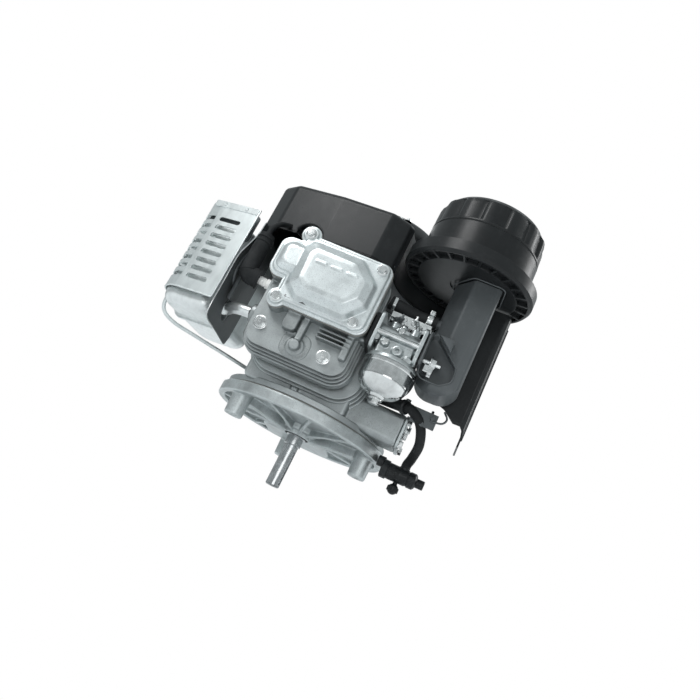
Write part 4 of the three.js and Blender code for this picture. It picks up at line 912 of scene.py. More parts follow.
def guard_path(shift, steps=10):
    points = [(0, shift), (-30, shift)]
    points += arc(-54, 44, 44 - shift, 270, 180, steps)
    return points + [(-98 + shift, 60), (-98 + shift, 96)]


def build_guard(sizes):
    sheet = slab(guard_path(0) + guard_path(1.5)[::-1], 118, 256, "z", 0.3, 0.3, 2)
    made = mesh_object("guard_skin", at_guard(sheet))
    low, pitch = 134, 13.0
    bend = arc(-54, 44, 38, 261, 205, 14) + arc(-54, 44, 50, 205, 261, 14)
    tools = [at_guard(slab(rounded(-53, -19, low, low + 6.6, 3.2), -4, 5, "y")),
             at_guard(slab(bend, low, low + 6.6, "z", 0.8, 0.8)),
             at_guard(slab(rounded(47, 86, low, low + 6.6, 3.2), -103, -93, "x"))]
    for k, tool in enumerate(tools):
        row = grown(mesh_object(f"slot_{k}", tool), TREES["row"], FINISH["guard"].material,
                    Count=sizes.slot_rows, Step=(0, 0, pitch * MM))
        carved(made, row)
    band = at_guard(whole(slab(rounded(-72, -1, 246.5, 255.6, 2), -0.9, 0.6, "y", 0.5, 0),
                          *[rod((x, 0.5, 251), (x, -2.2, 251), 3.6, 2.6, 0.6) for x in (-56, -20)]))
    hem = at_guard(whole(pipe([(x, y, 118.6) for x, y in guard_path(0.8, 6)], 1.3, 10, 3),
                         pipe([(0, 0.8, 119), (0, 0.8, 180), (0, 0.8, 255)], 1.2, 10, 3)))
    joined(made, mesh_object("guard_trim", whole(band, hem)))
    piece(made, FINISH["guard"], BLOCK, ["muffler_guard"], 35)
    liner = slab(rounded(-80, -4, 212, 253, 5), 14, 15.2, "y", 0.3, 0.3)
    part("guard_liner", at_guard(liner), FINISH["plate"], BLOCK, "dark_steel")


def build_muffler(sizes):
    plan = rounded(-90, -6, 10, 146, 24, 8)
    shell = at_guard(slab(plan, 100, 236, "z", 14, 14, 5))
    seam = at_guard(slab(rounded(-94.5, -2, 96, 240, 18, 8), 61.5, 65, "y", 0.9, 0.9))
    crimps = at_guard(whole(*[slab(rounded(-92, -4, 98.5, 237.5, 17, 8), y, y + 1.6, "y", 0.5, 0.5)
                              for y in (58.5, 66.5)]))
    dents = at_guard(whole(*[slab(rounded(-80, -16, z, z + 10, 4.8, 5), 8.6, 12, "y", 1.2, 0)
                             for z in (126, 150, 174, 198)]))
    made = mesh_object("muffler_skin", whole(shell, seam, crimps, dents))
    pipe_out = pipe([(-93, -136, 114), (-108, -133, 114), (-122, -124, 114), (-136, -104, 115), (-156, -78,
                                                                                                 120)],
                    7.4, 20, 6)
    stub = at_guard(ring(10, 8, 140, 152, (-68, 0, 202), "y", 0.4, 32))
    joined(made, mesh_object("exhaust", whole(pipe_out, stub)))
    piece(made, FINISH["muffler"], BLOCK, ["muffler_shell"], 40)
    bar = at_guard(pipe([(-93.3, 36, 122), (-93, 42, 97), (-78, 54, 86), (-46, 72, 82), (-8, 98, 79),
                         (30, 128, 76)], 2.7, 12, 6))
    part("bracket_bar", bar, FINISH["guard"], BLOCK, "dark_steel", ["muffler_bracket"])


def build_side_plate(sizes):
    outline = soften([(-134, 236), (-137, 214), (-160, 168), (-158, 92), (-148, 83), (-52, 83), (-47, 96),
                      (-47, 236)], [3, 10, 8, 8, 6, 6, 4, 3], 4)
    made = mesh_object("side_plate_skin", slab(outline, -136, -134.5, "x", 0.4, 0.4, 2))
    carved(made, mesh_object("pipe_hole", rod((-145, -104, 115), (-125, -104, 115), 16, 16, 0.1, 40)))
    ridge = pipe([(-134.4, -120, 226), (-134.4, -126, 206), (-134.4, -144, 170), (-134.4, -142, 148),
                  (-134.4, -120, 140), (-134.4, -96, 140)], 2.6, 12, 5)
    joined(made, mesh_object("ridge", ridge))
    piece(made, FINISH["plate"], BLOCK, ["side_plate"], 35)
    # The zinc bead along the plate's front and bottom edges is a painted highlight: a bright line put where
    # the folded edge of the dark plate catches the light.
    rim = pipe([(-135.2, y, z) for y, z in ((-135, 232), (-137.5, 214), (-149, 191), (-160.3, 168),
                                            (-159.4, 130), (-158.3, 93), (-148, 82.6), (-120, 82.6))], 0.9,
                                            8, 4)
    part("side_plate_painted_highlight_edge", rim, FINISH["zinc"], BLOCK, "zinc_plate")
    fork = box(-131, -126, -137, -112, 120, 163, 1.2)
    part("heat_shield", fork, FINISH["plate"], BLOCK, "dark_steel")


# ------------------------------------------------------------------ blower housing, recoil cover
def housing_plan():
    hollow = arc(133, -115, 90.5, 184, 97, 16)
    back = arc(0, 0, 128, -8, 158, 30)
    front = soften([(-150, 6), (-150, -98), (-128, -118), (-60, -133), (12, -140), (38, -128), (44, -100)],
                   [0, 8, 14, 20, 12, 6, 0], 4)
    front = [p for p in front if not (p[0] > 41 and p[1] > -112)]
    return front + hollow + back


def build_housing(sizes):
    plan = housing_plan()
    made = mesh_object("housing_skin", slab(plan, 242, 315, "z", 0, 9, 5))
    room = slab(inset(plan, 2.6), 230, 312, "z", 0, 6, 3)
    tools = [mesh_object("room", room),
             mesh_object("arch", rod((-78, -170, 240), (-78, -100, 240), 19, 19, 0.1, 48)),
             mesh_object("well", rod((0, 0, 300), (0, 0, 330), 76, 76, 0.1, 96))]
    carved(made, *tools)
    lip = pipe([(-78 + 20 * math.cos(t), -129.5 + 6.5 * math.cos(t) * -0.35, 240 + 20 * math.sin(t))
                for t in (math.pi * k / 10 for k in range(1, 10))], 1.6, 10, 3)
    lug = box(44, 52, -60, -52, 306, 325, 1.5)
    ledge = slab(inset(plan, -0.0), 242, 245.5, "z", 0.8, 0.8)
    inner = slab(inset(plan, 2.2), 241.9, 245.6, "z")
    trim = mesh_object("ledge", ledge)
    carved(trim, mesh_object("ledge_room", inner),
           mesh_object("arch_b", rod((-78, -170, 240), (-78, -100, 240), 19, 19, 0.1, 48)))
    joined(made, mesh_object("housing_trim", whole(lip, lug)), trim)
    piece(made, FINISH["black"], BLOCK, ["blower_housing"], 35)
    # The skirt along the filter hollow takes the lighter duct grey as a painted highlight: the light on the
    # concave edge of the black housing.
    skirt = loft([(strip(arc(133, -115, 93.4, 168, 150, 20), 1.8), 217),
                  (strip(arc(133, -115, 93.4, 176, 140, 20), 1.8), 226),
                  (strip(arc(133, -115, 93.4, 186, 124, 20), 1.8), 250)])
    part("housing_skirt_painted_highlight", skirt, FINISH["duct"], BLOCK, "grey_plastic")
    screws = [(x, y, 315) for x, y in ((-120, -70), (-100, 70), (20, -122), (80, 92))]
    bolts("housing_screws", screws, "+Z", 4, 3.5, FINISH["zinc"])


def build_recoil(sizes):
    z = 315.3
    dome = lathe([(0, z), (84, z), (84, z + 13), (82, z + 18), (76, z + 29), (70, z + 34), (64, z + 36),
                  (0, z + 36)],
                 sides=96)
    made = mesh_object("recoil_skin", dome)
    hollow = lathe([(0, z - 5), (80.6, z - 5), (80.6, z + 13), (72, z + 29), (62, z + 31), (0, z + 31)],
                   sides=96)
    carved(made, mesh_object("hollow", hollow))
    slot = mesh_object("slot", slab(rounded(34, 66, -2.0, 2.0, 1.9), z + 26, z + 40))
    carved(made, grown(slot, TREES["ring"], FINISH["black"].material, Count=sizes.intake_slots,
                       Step=2 * math.pi / sizes.intake_slots, First=0.0, Centre=(0, 0, 0)))
    boss = whole(lathe([(0, z + 8), (6, z + 8), (6, z + 33), (0, z + 33)], sides=32),
                 lathe([(0, z + 31), (24, z + 35.6), (22, z + 36.2), (0, z + 36.2)], sides=64),
                 ring(84.2, 82, z + 4, z + 7, sides=96), ring(84.2, 82, z + 9, z + 12, sides=96))
    joined(made, mesh_object("boss", boss))
    piece(made, FINISH["black"], BLOCK, ["recoil_cover"], 35)
    spots = [(77 * math.cos(math.radians(a)), 77 * math.sin(math.radians(a)), z + 28) for a in (45, 165, 285)]
    bolts("recoil_screws", spots, "+Z", 4, 4, FINISH["zinc"])


# ------------------------------------------------------------------ air filter and duct
def build_filter_base(sizes):
    at = (133, -115, 0)
    dish = lathe(soften([(22, 262.2), (66, 262.2), (67, 267), (79, 267), (80, 262.2), (83, 262.2), (85.5,
                                                                                                    266),
                         (85.5, 281), (83, 281), (82.5, 270), (22, 270)], 0.6, 2), at, sides=128, loop=True)
    spoke = mesh_object("spoke", box(65, 81, -1.5, 1.5, 262.4, 268, 0.5))
    grown(spoke, TREES["ring"], FINISH["black"].material, Count=24, Step=math.radians(15), First=0.1,
          Centre=(133 * MM, -115 * MM, 0))
    stud = rod((133, -115, 264), (133, -115, 364), 3)
    tray = lathe([(0, 264), (24, 264), (24, 269), (0, 269)], at, sides=64)
    made = joined(mesh_object("base_skin", whole(dish, stud, tray)), spoke)
    piece(made, FINISH["black"], BLOCK, ["filter_base"], 35)
    lip = inset(duct_plan(), -3.4)
    rim = [(*p, 261.4) for p in lip]
    part("duct_lip", pipe(rim + [rim[0]], 0.8, 8, 1), FINISH["duct"], BLOCK, "grey_plastic")


def build_filter_cap(sizes):
    count = sizes.vane_count
    sides = count * 14

    def level(height, radius, depth=0.0):
        points = []
        for k in range(sides):
            share = (k % 14) / 13
            dip = depth * (1 - min(1, share * 9)) if share < 0.111 else depth * max(0, share - 0.45) / 0.55
            angle = 2 * math.pi * k / sides
            points.append((133 + (radius - dip) * math.cos(angle), -115 + (radius - dip) * math.sin(angle),
                           height))
        return points
    rings = [level(281.4, 64), level(281.4, 72.6), level(281.8, 73), level(284, 73), level(285, 72),
             level(317, 72),
             level(318.2, 71.2), level(319.4, 72), level(321, 72), level(322.5, 72, 3.4), level(345, 71.4,
                                                                                                4.2),
             level(351, 70.2, 4.4), level(352.5, 68.5, 1.5), level(357.5, 64), level(358.3, 62.5),
             level(357.6, 60),
             level(357.6, 18), level(358.4, 16.5), level(358.4, 3.5), level(353, 3.5), level(353, 60),
             level(351, 63.4), level(290, 64)]
    made = mesh_object("cap_skin", stacked(rings, loop=True))
    piece(made, FINISH["black"], "filter_cap", ["filter_cap"], 32)
    rib = mesh_object("cap_ribs", box(20, 58, -1, 1, 357, 358.6, 0.5))
    grown(rib, TREES["ring"], FINISH["black"].material, Count=10, Step=math.radians(36), First=0.3,
          Centre=(133 * MM, -115 * MM, 0))
    piece(rib, FINISH["black"], "filter_cap")
    knob = whole(lathe([(3.5, 359), (12, 359), (13, 360), (12, 369), (11, 370.4), (4, 370.4), (4, 368),
                        (3.5, 367)],
                       (133, -115, 0), sides=48, loop=True),
                 slab(rounded(115.4, 150.6, -118, -112, 2.9, 4), 361, 370.4, "z", 0.8, 1.5))
    part("cap_knob_skin", knob, FINISH["black"], "cap_knob", "black_plastic", ["cap_knob"])
    def pleats(height, deep, shallow):
        rings = []
        for k in range(180):
            angle, radius = math.pi * k / 90, shallow if k % 2 else deep
            rings.append((133 + radius * math.cos(angle), -115 + radius * math.sin(angle), height))
        return rings
    paper = stacked([pleats(284, 52, 57.6), pleats(336, 52, 57.6), pleats(336, 44, 39), pleats(284, 44, 39)],
                    loop=True)
    at = (133, -115, 0)
    made = mesh_object("element_skin", whole(paper, ring(58, 38, 281.3, 285, at), ring(58, 38, 335, 339, at)))
    piece(made, FINISH["pleats"], BLOCK, ["filter_element"], 20)


def duct_plan():
    return soften([(142, -151.6), (176.6, -151.6), (176.6, -100.4), (120.2, -100.4), (120.2, -117)],
                  [5, 5, 4, 3, 4], 5)


def build_duct(sizes):
    made = mesh_object("duct_skin", slab(duct_plan(), 107.4, 261.6, "z", 9, 0, 5))
    pad = mesh_object("duct_pad", box(119.9, 150, -164.5, -121, 128.5, 173.5, 3))
    pocket = soften([(124, 118), (152, 118), (165, 128), (163, 146), (128, 176), (122, 172)], [9, 12, 10, 14,
                                                                                               3, 2], 6)
    joined(made, pad)
    cast(made, 0.9, 4, 1.5)
    carved(made, mesh_object("room", slab(inset(duct_plan(), 3), 172, 275, "z")), solver="FAST")
    carved(made, mesh_object("pocket", slab(pocket, -175, -139, "y", 0, 2)), solver="FAST")
    for x, turn in ((119, 180), (178, 270)):
        middle = (x + 30 if turn == 180 else x - 30, 137)
        corner = [(x, 100)] + arc(*middle, 30, turn, turn + 90, 10)
        carved(made, mesh_object("corner", slab(corner, -180, -90, "y")), solver="FAST")
    nipple = ring(6.2, 4, 111.5, 124, (0, -118, 201), "x", 0.6, 32)
    seam = pipe([(x, -151.9, z) for x, z in pocket[::2]] + [(pocket[0][0], -151.9, pocket[0][1])], 0.7, 8, 2)
    joined(made, mesh_object("duct_trim", whole(nipple, seam)))
    piece(made, FINISH["duct"], BLOCK, ["air_duct"], 40)
    stud = whole(rod((120, -147, 141), (146, -147, 141), 3), hexagon(6.4, 134, 140, (0, -147, 141), "x"),
                 rod((132.4, -147, 141), (134, -147, 141), 8.6, 8.6, 0.3, 36),
                 slab(rounded(-4, 4, 128, 137, 1), 128, 139, "x").moved(0, -147, 0),
                 hexagon(6.4, 134, 139, (0, -145.5, 130), "x"))
    part("duct_nuts", stud, FINISH["zinc"], BLOCK, "zinc_plate")


def build_side_cover(sizes):
    path = [(146, -92.2), (194, -93.7), (199, -90), (201.2, -84), (202.4, -24.5)]
    outline = strip(soften_path(path, 4), 2.5)
    made = mesh_object("side_cover_skin", slab(outline, 79.5, 260.5, "z", 0.8, 0.8))
    lean = slab(soften([(-100, 60), (-60, 60), (-100, 112)], 2), 184, 215, "x")
    low = slab([(130, 60), (184, 60), (184, 100), (168, 112), (130, 124)], -110, -80, "y")
    carved(made, mesh_object("lean", lean), mesh_object("low", low))
    bead = slab(soften([(-84, 116), (-34, 92), (-34, 248), (-84, 248)], 8), 201.0, 203.0, "x", 0.2, 0.9)
    joined(made, mesh_object("bead", bead.spun(-1.1, "Z", (201.8, -60, 0))))
    piece(made, FINISH["black"], BLOCK, ["side_cover"], 40)


def soften_path(points, radius):
    """Rounds the inner corners of an open path."""
    return soften(points, [0] + [radius] * (len(points) - 2) + [0], 5)


# ------------------------------------------------------------------ carburettor
def build_carburettor(sizes):
    x0, y, z, bx = 58.3, -141, 150, 91.3
    flange = rounded(y - 23.5, y + 21.5, z - 23.5, z + 25.5, 8)
    body = whole(
        rod((x0, y, z), (x0 + 60, y, z), 16, 15, 1, 48),
        slab(flange, x0, x0 + 5, "x", 0.8, 0.8), slab(flange, x0 + 55, x0 + 60, "x", 0.8, 0.8),
        box(67, 111, -158, -126, 123, 154, 3),
        rod((bx, y, 118.8), (bx, y, 125), 32.6, 31, 0.8, 64),
        rod((bx, y, 112), (bx, y, 126), 7, 7, 0.5, 32),
        box(62, 114, -163, -150, 145, 150, 1.8),
        rod((93.5, -167, 133), (93.5, -155, 133), 6.4, 7.4, 0.8, 32),
        rod((76, -165, 138), (76, -155, 138), 4.4, 5, 0.8, 24),
        rod((108, -160, 128), (108, -150, 128), 5, 5, 0.8, 24),
        rod((76.3, y, 160), (76.3, y, 173.5), 6.5, 6, 0.8, 24), rod((102.3, y, 160), (102.3, y, 173.5), 6.5,
                                                                    6, 0.8, 24),
        rod((88, -148, 160), (88, -148, 170), 5, 4.4, 0.8, 24),
        box(80, 98, -152, -132, 158, 166, 2))
    made = mesh_object("carb_skin", body)
    cast(made, 0.72, 3, 1.5)
    carved(made, mesh_object("bore", rod((x0 - 5, y, z), (x0 + 70, y, z), 10, 10, 0.1, 48)),
           mesh_object("jet_hole", rod((93.5, -175, 133), (93.5, -160, 133), 2.6, 2.6, 0.1, 24)))
    piece(made, FINISH["carb"], BLOCK, ["carburetor_body"], 50)
    # The long bright steel bar along the body's lower front edge is a painted highlight: bright metal put
    # where the casting's edge catches the light.
    ledge = whole(rod((61, -161.5, 149), (115, -161.5, 149), 3.3, 3.3, 0.8, 24),
                  rod((64, -163, 141), (64, -158, 141), 3.6, 3.6, 0.5, 20),
                  rod((60.5, -147, 156), (60.5, -155, 164), 2.2))
    part("carb_ledge_painted_highlight", ledge, FINISH["bowl"], BLOCK, "bright_steel")
    spots = [(76, -165.3, 138), (88, -160, 160)]
    bolts("carb_screws", spots, "-Y", 3.4, 2.6, FINISH["zinc"])
    bolts("carb_top_screws", [(88, -148, 170.2), (95, -137, 166.2), (68, -133, 176)], "+Z", 3.2, 3,
          FINISH["zinc"])
    at = (bx, y, 0)
    bowl = lathe([(3.5, 77.6), (8.6, 77.6), (9.4, 78.4), (10.4, 80.6), (19, 82.6), (24, 85.6), (28, 90.4),
                  (30.4, 96),
                  (31, 99), (31, 113.6), (31.6, 114.6), (32.5, 115), (32.5, 118.3), (28, 118.5), (28, 99),
                  (24.4, 91), (3.5, 88)], at, sides=96, loop=True)
    part("bowl_skin", bowl, FINISH["bowl"], BLOCK, "bright_steel", ["float_bowl"], 30)
    bolt = whole(hexagon(7.4, 70.2, 76, at), rod((bx, y, 75.4), (bx, y, 77.4), 8.6, 8.6, 0.4, 36),
                 rod((bx, y, 76), (bx, y, 104), 3), rod((bx, y, 69.6), (bx, y, 70.6), 5, 5.4, 0.3, 24))
    part("bowl_bolt_skin", bolt, FINISH["zinc"], BLOCK, "machined_steel", ["bowl_bolt"])
    block = mesh_object("insulator_skin", box(53.3, 58, -163, -121, 130, 170, 0.8))
    piece(block, FINISH["black"], BLOCK, ["carburetor_insulator"])
    bracket = whole(box(64, 116, -133, -131.4, 176.5, 190, 0.6), box(64, 116, -133, -112, 189, 190.6, 0.6),
                    box(66, 72, -146, -132, 178, 179.6, 0.6),
                    pipe([(70, -131, 184), (60, -124, 188), (54, -116, 190)], 1.2, 8),
                    *[rod((x, -134.6, 184), (x, -130, 184), 3.4, 3.4, 0.5) for x in (82, 94, 108)])
    part("linkage_bracket", bracket, FINISH["zinc"], BLOCK, "zinc_plate")
    coil = [(76 + 34 * t, -126 + 2.6 * math.cos(t * 75), 181 + 2.6 * math.sin(t * 75))
            for t in (k / 130 for k in range(131))]
    part("bracket_spring", pipe(coil, 0.55, 6, 1), FINISH["steel"], BLOCK, "machined_steel")
    inlet = pipe([(108, -150, 128), (116, -150, 126), (121, -140, 118), (120, -124, 108), (112, -104, 100)],
                 3.6, 14, 6)
    part("fuel_hose", inlet, FINISH["rubber"], BLOCK, "black_rubber")


def lever(name, at, length, turn, finish, width=7):
    x, y, z = at
    arm = slab(rounded(-width / 2, length + width / 2, -width / 2, width / 2, width / 2 - 0.1, 6), z, z + 2,
               "z",
               0.4, 0.4)
    head = rod((0, 0, z - 0.2), (0, 0, z + 4.4), 5.4, 5, 0.6, 28)
    hook = rod((length, 0, z + 1), (length, 0, z + 7), 1.6, 1.4, 0.3, 16)
    stem = rod((0, 0, z - 37), (0, 0, z), 3, 3, 0.3, 20)
    plate = rod((-0.7, 0, z - 26), (0.7, 0, z - 26), 9.1, 9.1, 0.2, 40)
    shape = whole(arm, head, hook).spun(turn)
    made = mesh_object(f"{name}_skin", whole(shape, stem, plate).moved(x, y, 0))
    return piece(made, finish, name, [name])


def build_levers(sizes):
    lever("throttle_lever", (76.3, -141, 176), 13, -70, FINISH["plate"])
    lever("choke_lever", (102.3, -141, 176), 22, -100, FINISH["zinc"])
    arm = whole(rod((0, 0, 89.4), (0, 0, 114.6), 4, 4, 0.5, 24),
                slab(rounded(-4.5, 38, -4, 4, 3.9, 6), 104.9, 107.2, "z", 0.4, 0.4),
                rod((34, 0, 105), (34, 0, 113.4), 2, 1.8, 0.4, 16), hexagon(5.6, 107, 111, (0, 0, 0)),
                rod((16, 0, 104.4), (16, 0, 108), 2.4, 2.4, 0.3, 16))
    made = mesh_object("governor_arm_skin", arm.moved(122, -60, 0))
    piece(made, FINISH["zinc"], "governor_arm", ["governor_arm"])
    frame_plate = whole(box(134, 166, -98, -96.6, 80, 100, 0.6), box(138, 142, -97, -84, 88, 92, 0.6),
                        *[rod((x, -100, z), (x, -96, z), 3, 3, 0.5) for x, z in ((140, 86), (160, 94), (150,
                                                                                                        82))],
                        pipe([(158, -98, 90), (172, -100, 92), (176, -98, 100), (170, -96, 108)], 1.3, 8))
    part("control_plate", frame_plate, FINISH["plate"], BLOCK, "dark_steel")


# ------------------------------------------------------------------ hoses, plug and drain
def build_hoses(sizes):
    way = [(55.5, -124, 203), (75, -123, 200.6), (93, -119.4, 200), (118.6, -118, 201)]
    hose = mesh_object("breather_skin", pipe(way, lambda t: 8.5 + (0.5 if t > 0.93 or t < 0.06 else 0), 28,
                                             10))
    piece(hose, FINISH["rubber"], BLOCK, ["breather_hose"], 40)
    clamp = whole(ring(9.9, 8.7, 106, 113, (0, -118.2, 200.8), "x", 0.4, 48),
                  box(106.4, 112.6, -130, -126.6, 206, 212, 0.8), box(106.4, 112.6, -127, -123, 208.4, 211.8,
                                                                      0.8),
                  rod((109.5, -132, 209), (109.5, -122, 209), 1.7, 1.7, 0.3, 14),
                  ring(9.7, 8.8, 60, 64, (0, -123.6, 202.4), "x", 0.3, 48),
                  box(60, 64.4, -134, -130.6, 199, 208, 0.6))
    part("hose_clamps", clamp, FINISH["zinc"], BLOCK, "zinc_plate")
    a, b = (66.9, -44.3, 104.3), (126, -95, 94.4)
    lip = Vector(a).lerp(Vector(b), 0.9)
    spigot = mesh_object("spigot_skin", whole(rod(a, b, 7.5, 7.5, 0.6, 40), rod(lip, b, 9.2, 9.2, 1.6, 40)))
    piece(spigot, FINISH["black"], BLOCK, ["hose_spigot"], 40)
    end = Vector(a).lerp(Vector(b), 0.995)
    run = [end, (133.5, -99, 92.6), (149, -93, 82), (157, -74, 64), (155, -52, 49), (152.3, -43, 41),
           (152, -42, 34.5)]
    hose = mesh_object("oil_hose_skin", pipe(run, 6.2, 24, 10))
    piece(hose, FINISH["rubber"], BLOCK, ["oil_hose"], 40)


def build_drain(sizes):
    y, z = -42, 24
    line = [(124, 10.2), (125, 12), (132.6, 12), (133.4, 10.5), (146, 10.5), (147, 11.2), (150, 11.2), (151,
                                                                                                        10.5),
            (158, 10.5), (160, 9.4), (162, 10.5), (169, 10.4), (171, 8.4), (172, 6), (181, 6), (182, 5.2)]
    barrel = lathe([(0, line[0][0])] + [(r, x) for x, r in line] + [(0, 182)], (0, y, z), "x", 48)
    nut = hexagon(11.6, 136, 142, (0, y, z), "x")
    tail = rod((116.3, y, z + 7), (126, y, z + 7), 7, 7, 0.6, 32)
    neck = rod((152, y, z + 4), (152, y, z + 10.8), 7.5, 7.5, 0.6, 32)
    part("fitting_skin", whole(barrel, nut, tail, neck), FINISH["black"], BLOCK, "black_plastic",
         ["oil_fitting"], 35)
    ball = [(7 * math.cos(math.radians(t)), 4.8 + 7 * math.sin(math.radians(t))) for t in range(-90, 61, 10)]
    knob = lathe([(0, ball[0][1])] + ball[1:] + [(3, 11.4), (3, 13.1), (0, 13.1)], (148, y, 0), sides=40)
    grips = mesh_object("grip", box(6.4, 7.5, -0.8, 0.8, 1.5, 7.6, 0.3))
    grown(grips, TREES["ring"], FINISH["black"].material, Count=12, Step=math.radians(30), First=0.0,
          Centre=(148 * MM, y * MM, 0))
    made = joined(mesh_object("drain_knob_skin", knob), grips)
    piece(made, FINISH["black"], "drain_knob", ["drain_knob"])


def build_plug(sizes):
    seat = Vector((-84, -142.3, 154))
    way = Vector((-math.cos(math.radians(15.7)), -math.sin(math.radians(15.7)), 0))

    def out(distance):
        return seat + way * distance
    plug = whole(rod(out(-26), out(8), 6.6, 6.6, 0.6, 32), rod(out(8), out(31), 5.5, 4.4, 1.4, 32),
                 *[rod(out(k), out(k + 1.6), 6, 5.8, 0.6, 32) for k in (11, 15)])
    made = mesh_object("plug_skin", plug)
    piece(made, FINISH["glaze"], BLOCK, ["spark_plug"])
    elbow = out(35)
    run = [out(18), out(24), out(31), elbow + Vector((0, 0, 5)), elbow + Vector((-0.6, 0, 16)),
           elbow + Vector((-0.4, 0, 34)), elbow + Vector((0, 0, 57))]
    boot = pipe(run, lambda t: 12.4 - 2.4 * t + (1.0 if t < 0.06 or 0.47 < t < 0.5 else 0), 32, 10)
    cuffs = whole(*[rod(elbow + Vector((0, 0, h)), elbow + Vector((0, 0, h + 3)), 11.4, 11.2, 1, 36)
                    for h in (44, 50)])
    made = mesh_object("boot_skin", whole(boot, cuffs))
    piece(made, FINISH["rubber"], BLOCK, ["spark_plug_boot"], 50)
    top = elbow + Vector((0, 0, 56))
    lead = pipe([top, top + Vector((0, 2, 14)), top + Vector((4, 16, 30)), top + Vector((16, 46, 44)),
                 top + Vector((40, 84, 40))], 3.5, 14, 8)
    part("plug_lead", lead, FINISH["rubber"], BLOCK, "black_rubber")


# ------------------------------------------------------------------ what stays as the frame made it
def dress_nodes():
    slots = {entry["node"]: entry["material_slot"] for entry in frame["record"]["subparts"]}
    for name, node in frame["nodes"].items():
        node.data.materials.clear()
        node.data.materials.append(FINISH[BY_SLOT[slots[name]]].material)


# ------------------------------------------------------------------ stage
def build_stage(colours):
    floor = bpy.data.meshes.new("floor")
    floor.from_pydata([(-3, -3, -0.056), (3, -3, -0.056), (3, 3, -0.056), (-3, 3, -0.056)], [], [(0, 1, 2,
                                                                                                  3)])
    made = bpy.data.objects.new("floor", floor)
    bpy.context.scene.collection.objects.link(made)
    paint = Finish("studio_floor")
    haze = paint.noise(400, 2)
    paint.set(Base_Color=paint.blend(haze, tuple(colours.floor), shade(tuple(colours.floor), 0.97)),
              Roughness=0.8)
    glass = paint.tree.nodes.new("ShaderNodeBsdfTransparent")
    mix = paint.node("ShaderNodeMixShader", s0=paint.node("ShaderNodeNewGeometry", output="Backfacing"))
    paint.tree.links.new(paint.shader.outputs[0], mix.socket.node.inputs[1])
    paint.tree.links.new(glass.outputs[0], mix.socket.node.inputs[2])
    paint.tree.links.new(mix.socket, paint.tree.nodes["Material Output"].inputs[0])
    floor.materials.append(paint.material)

    world = bpy.data.worlds.new("studio")
    bpy.context.scene.world = world
    world.use_nodes = True
    nodes, links = world.node_tree.nodes, world.node_tree.links
    back = nodes["Background"]
    place = nodes.new("ShaderNodeTexCoord")
    split = nodes.new("ShaderNodeSeparateXYZ")
    links.new(place.outputs["Generated"], split.inputs[0])
    ramp = nodes.new("ShaderNodeValToRGB")
    ramp.color_ramp.elements[0].position = 0.3
    ramp.color_ramp.elements[0].color = (0.05, 0.055, 0.06, 1)
    ramp.color_ramp.elements[1].position = 0.75
    ramp.color_ramp.elements[1].color = (0.56, 0.6, 0.61, 1)
    half = nodes.new("ShaderNodeMath")
    half.operation = "MULTIPLY_ADD"
    half.inputs[1].default_value = 0.5
    half.inputs[2].default_value = 0.5
    links.new(split.outputs["Z"], half.inputs[0])
    links.new(half.outputs[0], ramp.inputs[0])
    seen = nodes.new("ShaderNodeLightPath")
    pick = nodes.new("ShaderNodeMix")
    pick.data_type = "RGBA"
    pick.inputs[7].default_value = (1, 1, 1, 1)
    links.new(seen.outputs["Is Camera Ray"], pick.inputs[0])
    links.new(ramp.outputs[0], pick.inputs[6])
    links.new(pick.outputs[2], back.inputs["Color"])
    back.inputs["Strength"].default_value = 1.0

    def lamp(name, place, target, size, power):
        light = bpy.data.lights.new(name, "AREA")
        light.shape = "RECTANGLE"
        light.size, light.size_y = size
        light.energy = power
        item = bpy.data.objects.new(name, light)
        item.location = place
        item.rotation_euler = (Vector(target) - Vector(place)).to_track_quat("-Z", "Y").to_euler()
        bpy.context.scene.collection.objects.link(item)
    lamp("key", (-0.9, -1.3, 1.3), (0, -0.05, 0.16), (0.7, 0.9), 15)
    lamp("front", (0.5, -1.8, 0.1), (0, -0.05, 0.16), (1.2, 0.5), 4)
    lamp("rim", (1.3, 0.5, 0.9), (0, 0, 0.18), (0.5, 1.1), 9)
    lamp("back", (-0.8, 1.4, 0.8), (0, 0, 0.18), (0.8, 0.8), 6)

    camera = bpy.data.cameras.new("camera")
    camera.sensor_width = 36
    camera.lens = 36
    camera.clip_start = 0.01
    item = bpy.data.objects.new("camera", camera)
    bpy.context.scene.collection.objects.link(item)
    turn, tilt, roll = math.radians(10.5), math.radians(17.1), math.radians(26.5)
    ahead = Vector((-math.sin(turn) * math.cos(tilt), math.cos(turn) * math.cos(tilt), math.sin(tilt)))
    right = Vector((math.cos(turn), math.sin(turn), 0))
    up = right.cross(ahead)
    side = right * math.cos(roll) + up * math.sin(roll)
    top = up * math.cos(roll) - right * math.sin(roll)
    item.matrix_world = Matrix((
        (side.x, top.x, -ahead.x, 0.1845), (side.y, top.y, -ahead.y, -0.9255),
        (side.z, top.z, -ahead.z, -0.1264), (0, 0, 0, 1)))
    bpy.context.scene.camera = item
    bpy.context.scene.view_settings.view_transform = "Standard"


# ------------------------------------------------------------------ operators
class MakeStage(bpy.types.Operator):
    """Sets the floor, the lights, the world and the camera"""

    bl_idname = "engine.stage"
    bl_label = "Stage"

    def execute(self, context):
        build_stage(context.scene.engine_colours)
        return {"FINISHED"}


class MakeFinishes(bpy.types.Operator):
    """Builds the finishes and the node trees, and dresses the frame's own pieces"""

    bl_idname = "engine.finishes"
    bl_label = "Finishes"

    def execute(self, context):
        make_finishes(context.scene.engine_colours)
        TREES.update(row=row_tree(), ring=ring_tree(), bolt=bolt_tree())
        dress_nodes()
        return {"FINISHED"}


def maker(idname, label, doc, build):
    """One operator for each piece or group of like pieces."""
    def execute(self, context):
        build(context.scene.engine_sizes)
        return {"FINISHED"}
    return type(f"ENGINE_OT_{idname}", (bpy.types.Operator,), {
        "bl_idname": f"engine.{idname}", "bl_label": label, "__doc__": doc, "execute": execute})


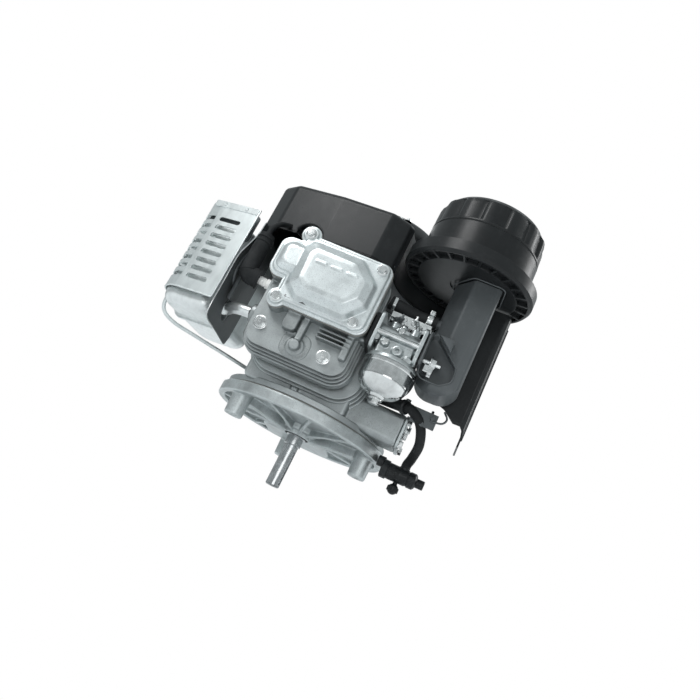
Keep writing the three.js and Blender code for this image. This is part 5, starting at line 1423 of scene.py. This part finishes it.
MAKERS = [
    maker("sump", "Sump", "Casts the sump and its mounting flange", build_sump),
    maker("crankcase", "Crankcase", "Casts the crankcase, its fins and its gaskets", build_crankcase),
    maker("head", "Cylinder head", "Casts the cylinder head and sets its bolts", build_head),
    maker("rocker_cover", "Rocker cover", "Casts the rocker cover and sets its bolts", build_rocker_cover),
    maker("shaft", "Crankshaft", "Turns the crankshaft and the flywheel", build_shaft),
    maker("muffler", "Muffler", "Presses the muffler and bends its pipe", build_muffler),
    maker("guard", "Muffler guard", "Punches and bends the muffler guard", build_guard),
    maker("side_plate", "Side plate", "Presses the dark plate beside the muffler", build_side_plate),
    maker("housing", "Blower housing", "Moulds the blower housing", build_housing),
    maker("recoil", "Recoil cover", "Moulds the recoil cover", build_recoil),
    maker("filter_base", "Filter base", "Moulds the filter base", build_filter_base),
    maker("filter_cap", "Filter cap", "Moulds the filter cap, its knob and the element", build_filter_cap),
    maker("duct", "Air duct", "Moulds the air duct and sets its nuts", build_duct),
    maker("side_cover", "Side cover", "Moulds the right-hand side cover", build_side_cover),
    maker("carburettor", "Carburettor", "Makes the carburettor, its bowl and its bracket", build_carburettor),
    maker("levers", "Levers", "Makes the throttle, choke and governor levers", build_levers),
    maker("hoses", "Hoses", "Lays the hoses and their clamps", build_hoses),
    maker("drain", "Drain fitting", "Makes the drain fitting and its knob", build_drain),
    maker("plug", "Spark plug", "Makes the spark plug, its boot and its lead", build_plug),
]


class EnginePanel(bpy.types.Panel):
    """Lists the engine's sizes, colours and makers in the sidebar"""

    bl_idname = "VIEW3D_PT_engine"
    bl_label = "Petrol engine"
    bl_space_type = "VIEW_3D"
    bl_region_type = "UI"
    bl_category = "Engine"

    def draw(self, context):
        column = self.layout.column()
        for group in (context.scene.engine_sizes, context.scene.engine_colours):
            for key in group.__annotations__:
                column.prop(group, key)
        for kind in (MakeStage, MakeFinishes, *MAKERS):
            column.operator(kind.bl_idname)


CLASSES = (EngineSizes, EngineColours, MakeStage, MakeFinishes, *MAKERS, EnginePanel)


def register():
    for kind in CLASSES:
        bpy.utils.register_class(kind)
    bpy.types.Scene.engine_sizes = PointerProperty(type=EngineSizes)
    bpy.types.Scene.engine_colours = PointerProperty(type=EngineColours)


def unregister():
    del bpy.types.Scene.engine_colours
    del bpy.types.Scene.engine_sizes
    for kind in reversed(CLASSES):
        bpy.utils.unregister_class(kind)


def main():
    register()
    bpy.ops.engine.stage()
    bpy.ops.engine.finishes()
    for kind in MAKERS:
        getattr(bpy.ops.engine, kind.bl_idname.split(".")[1])()


if __name__ == "__main__":
    main()
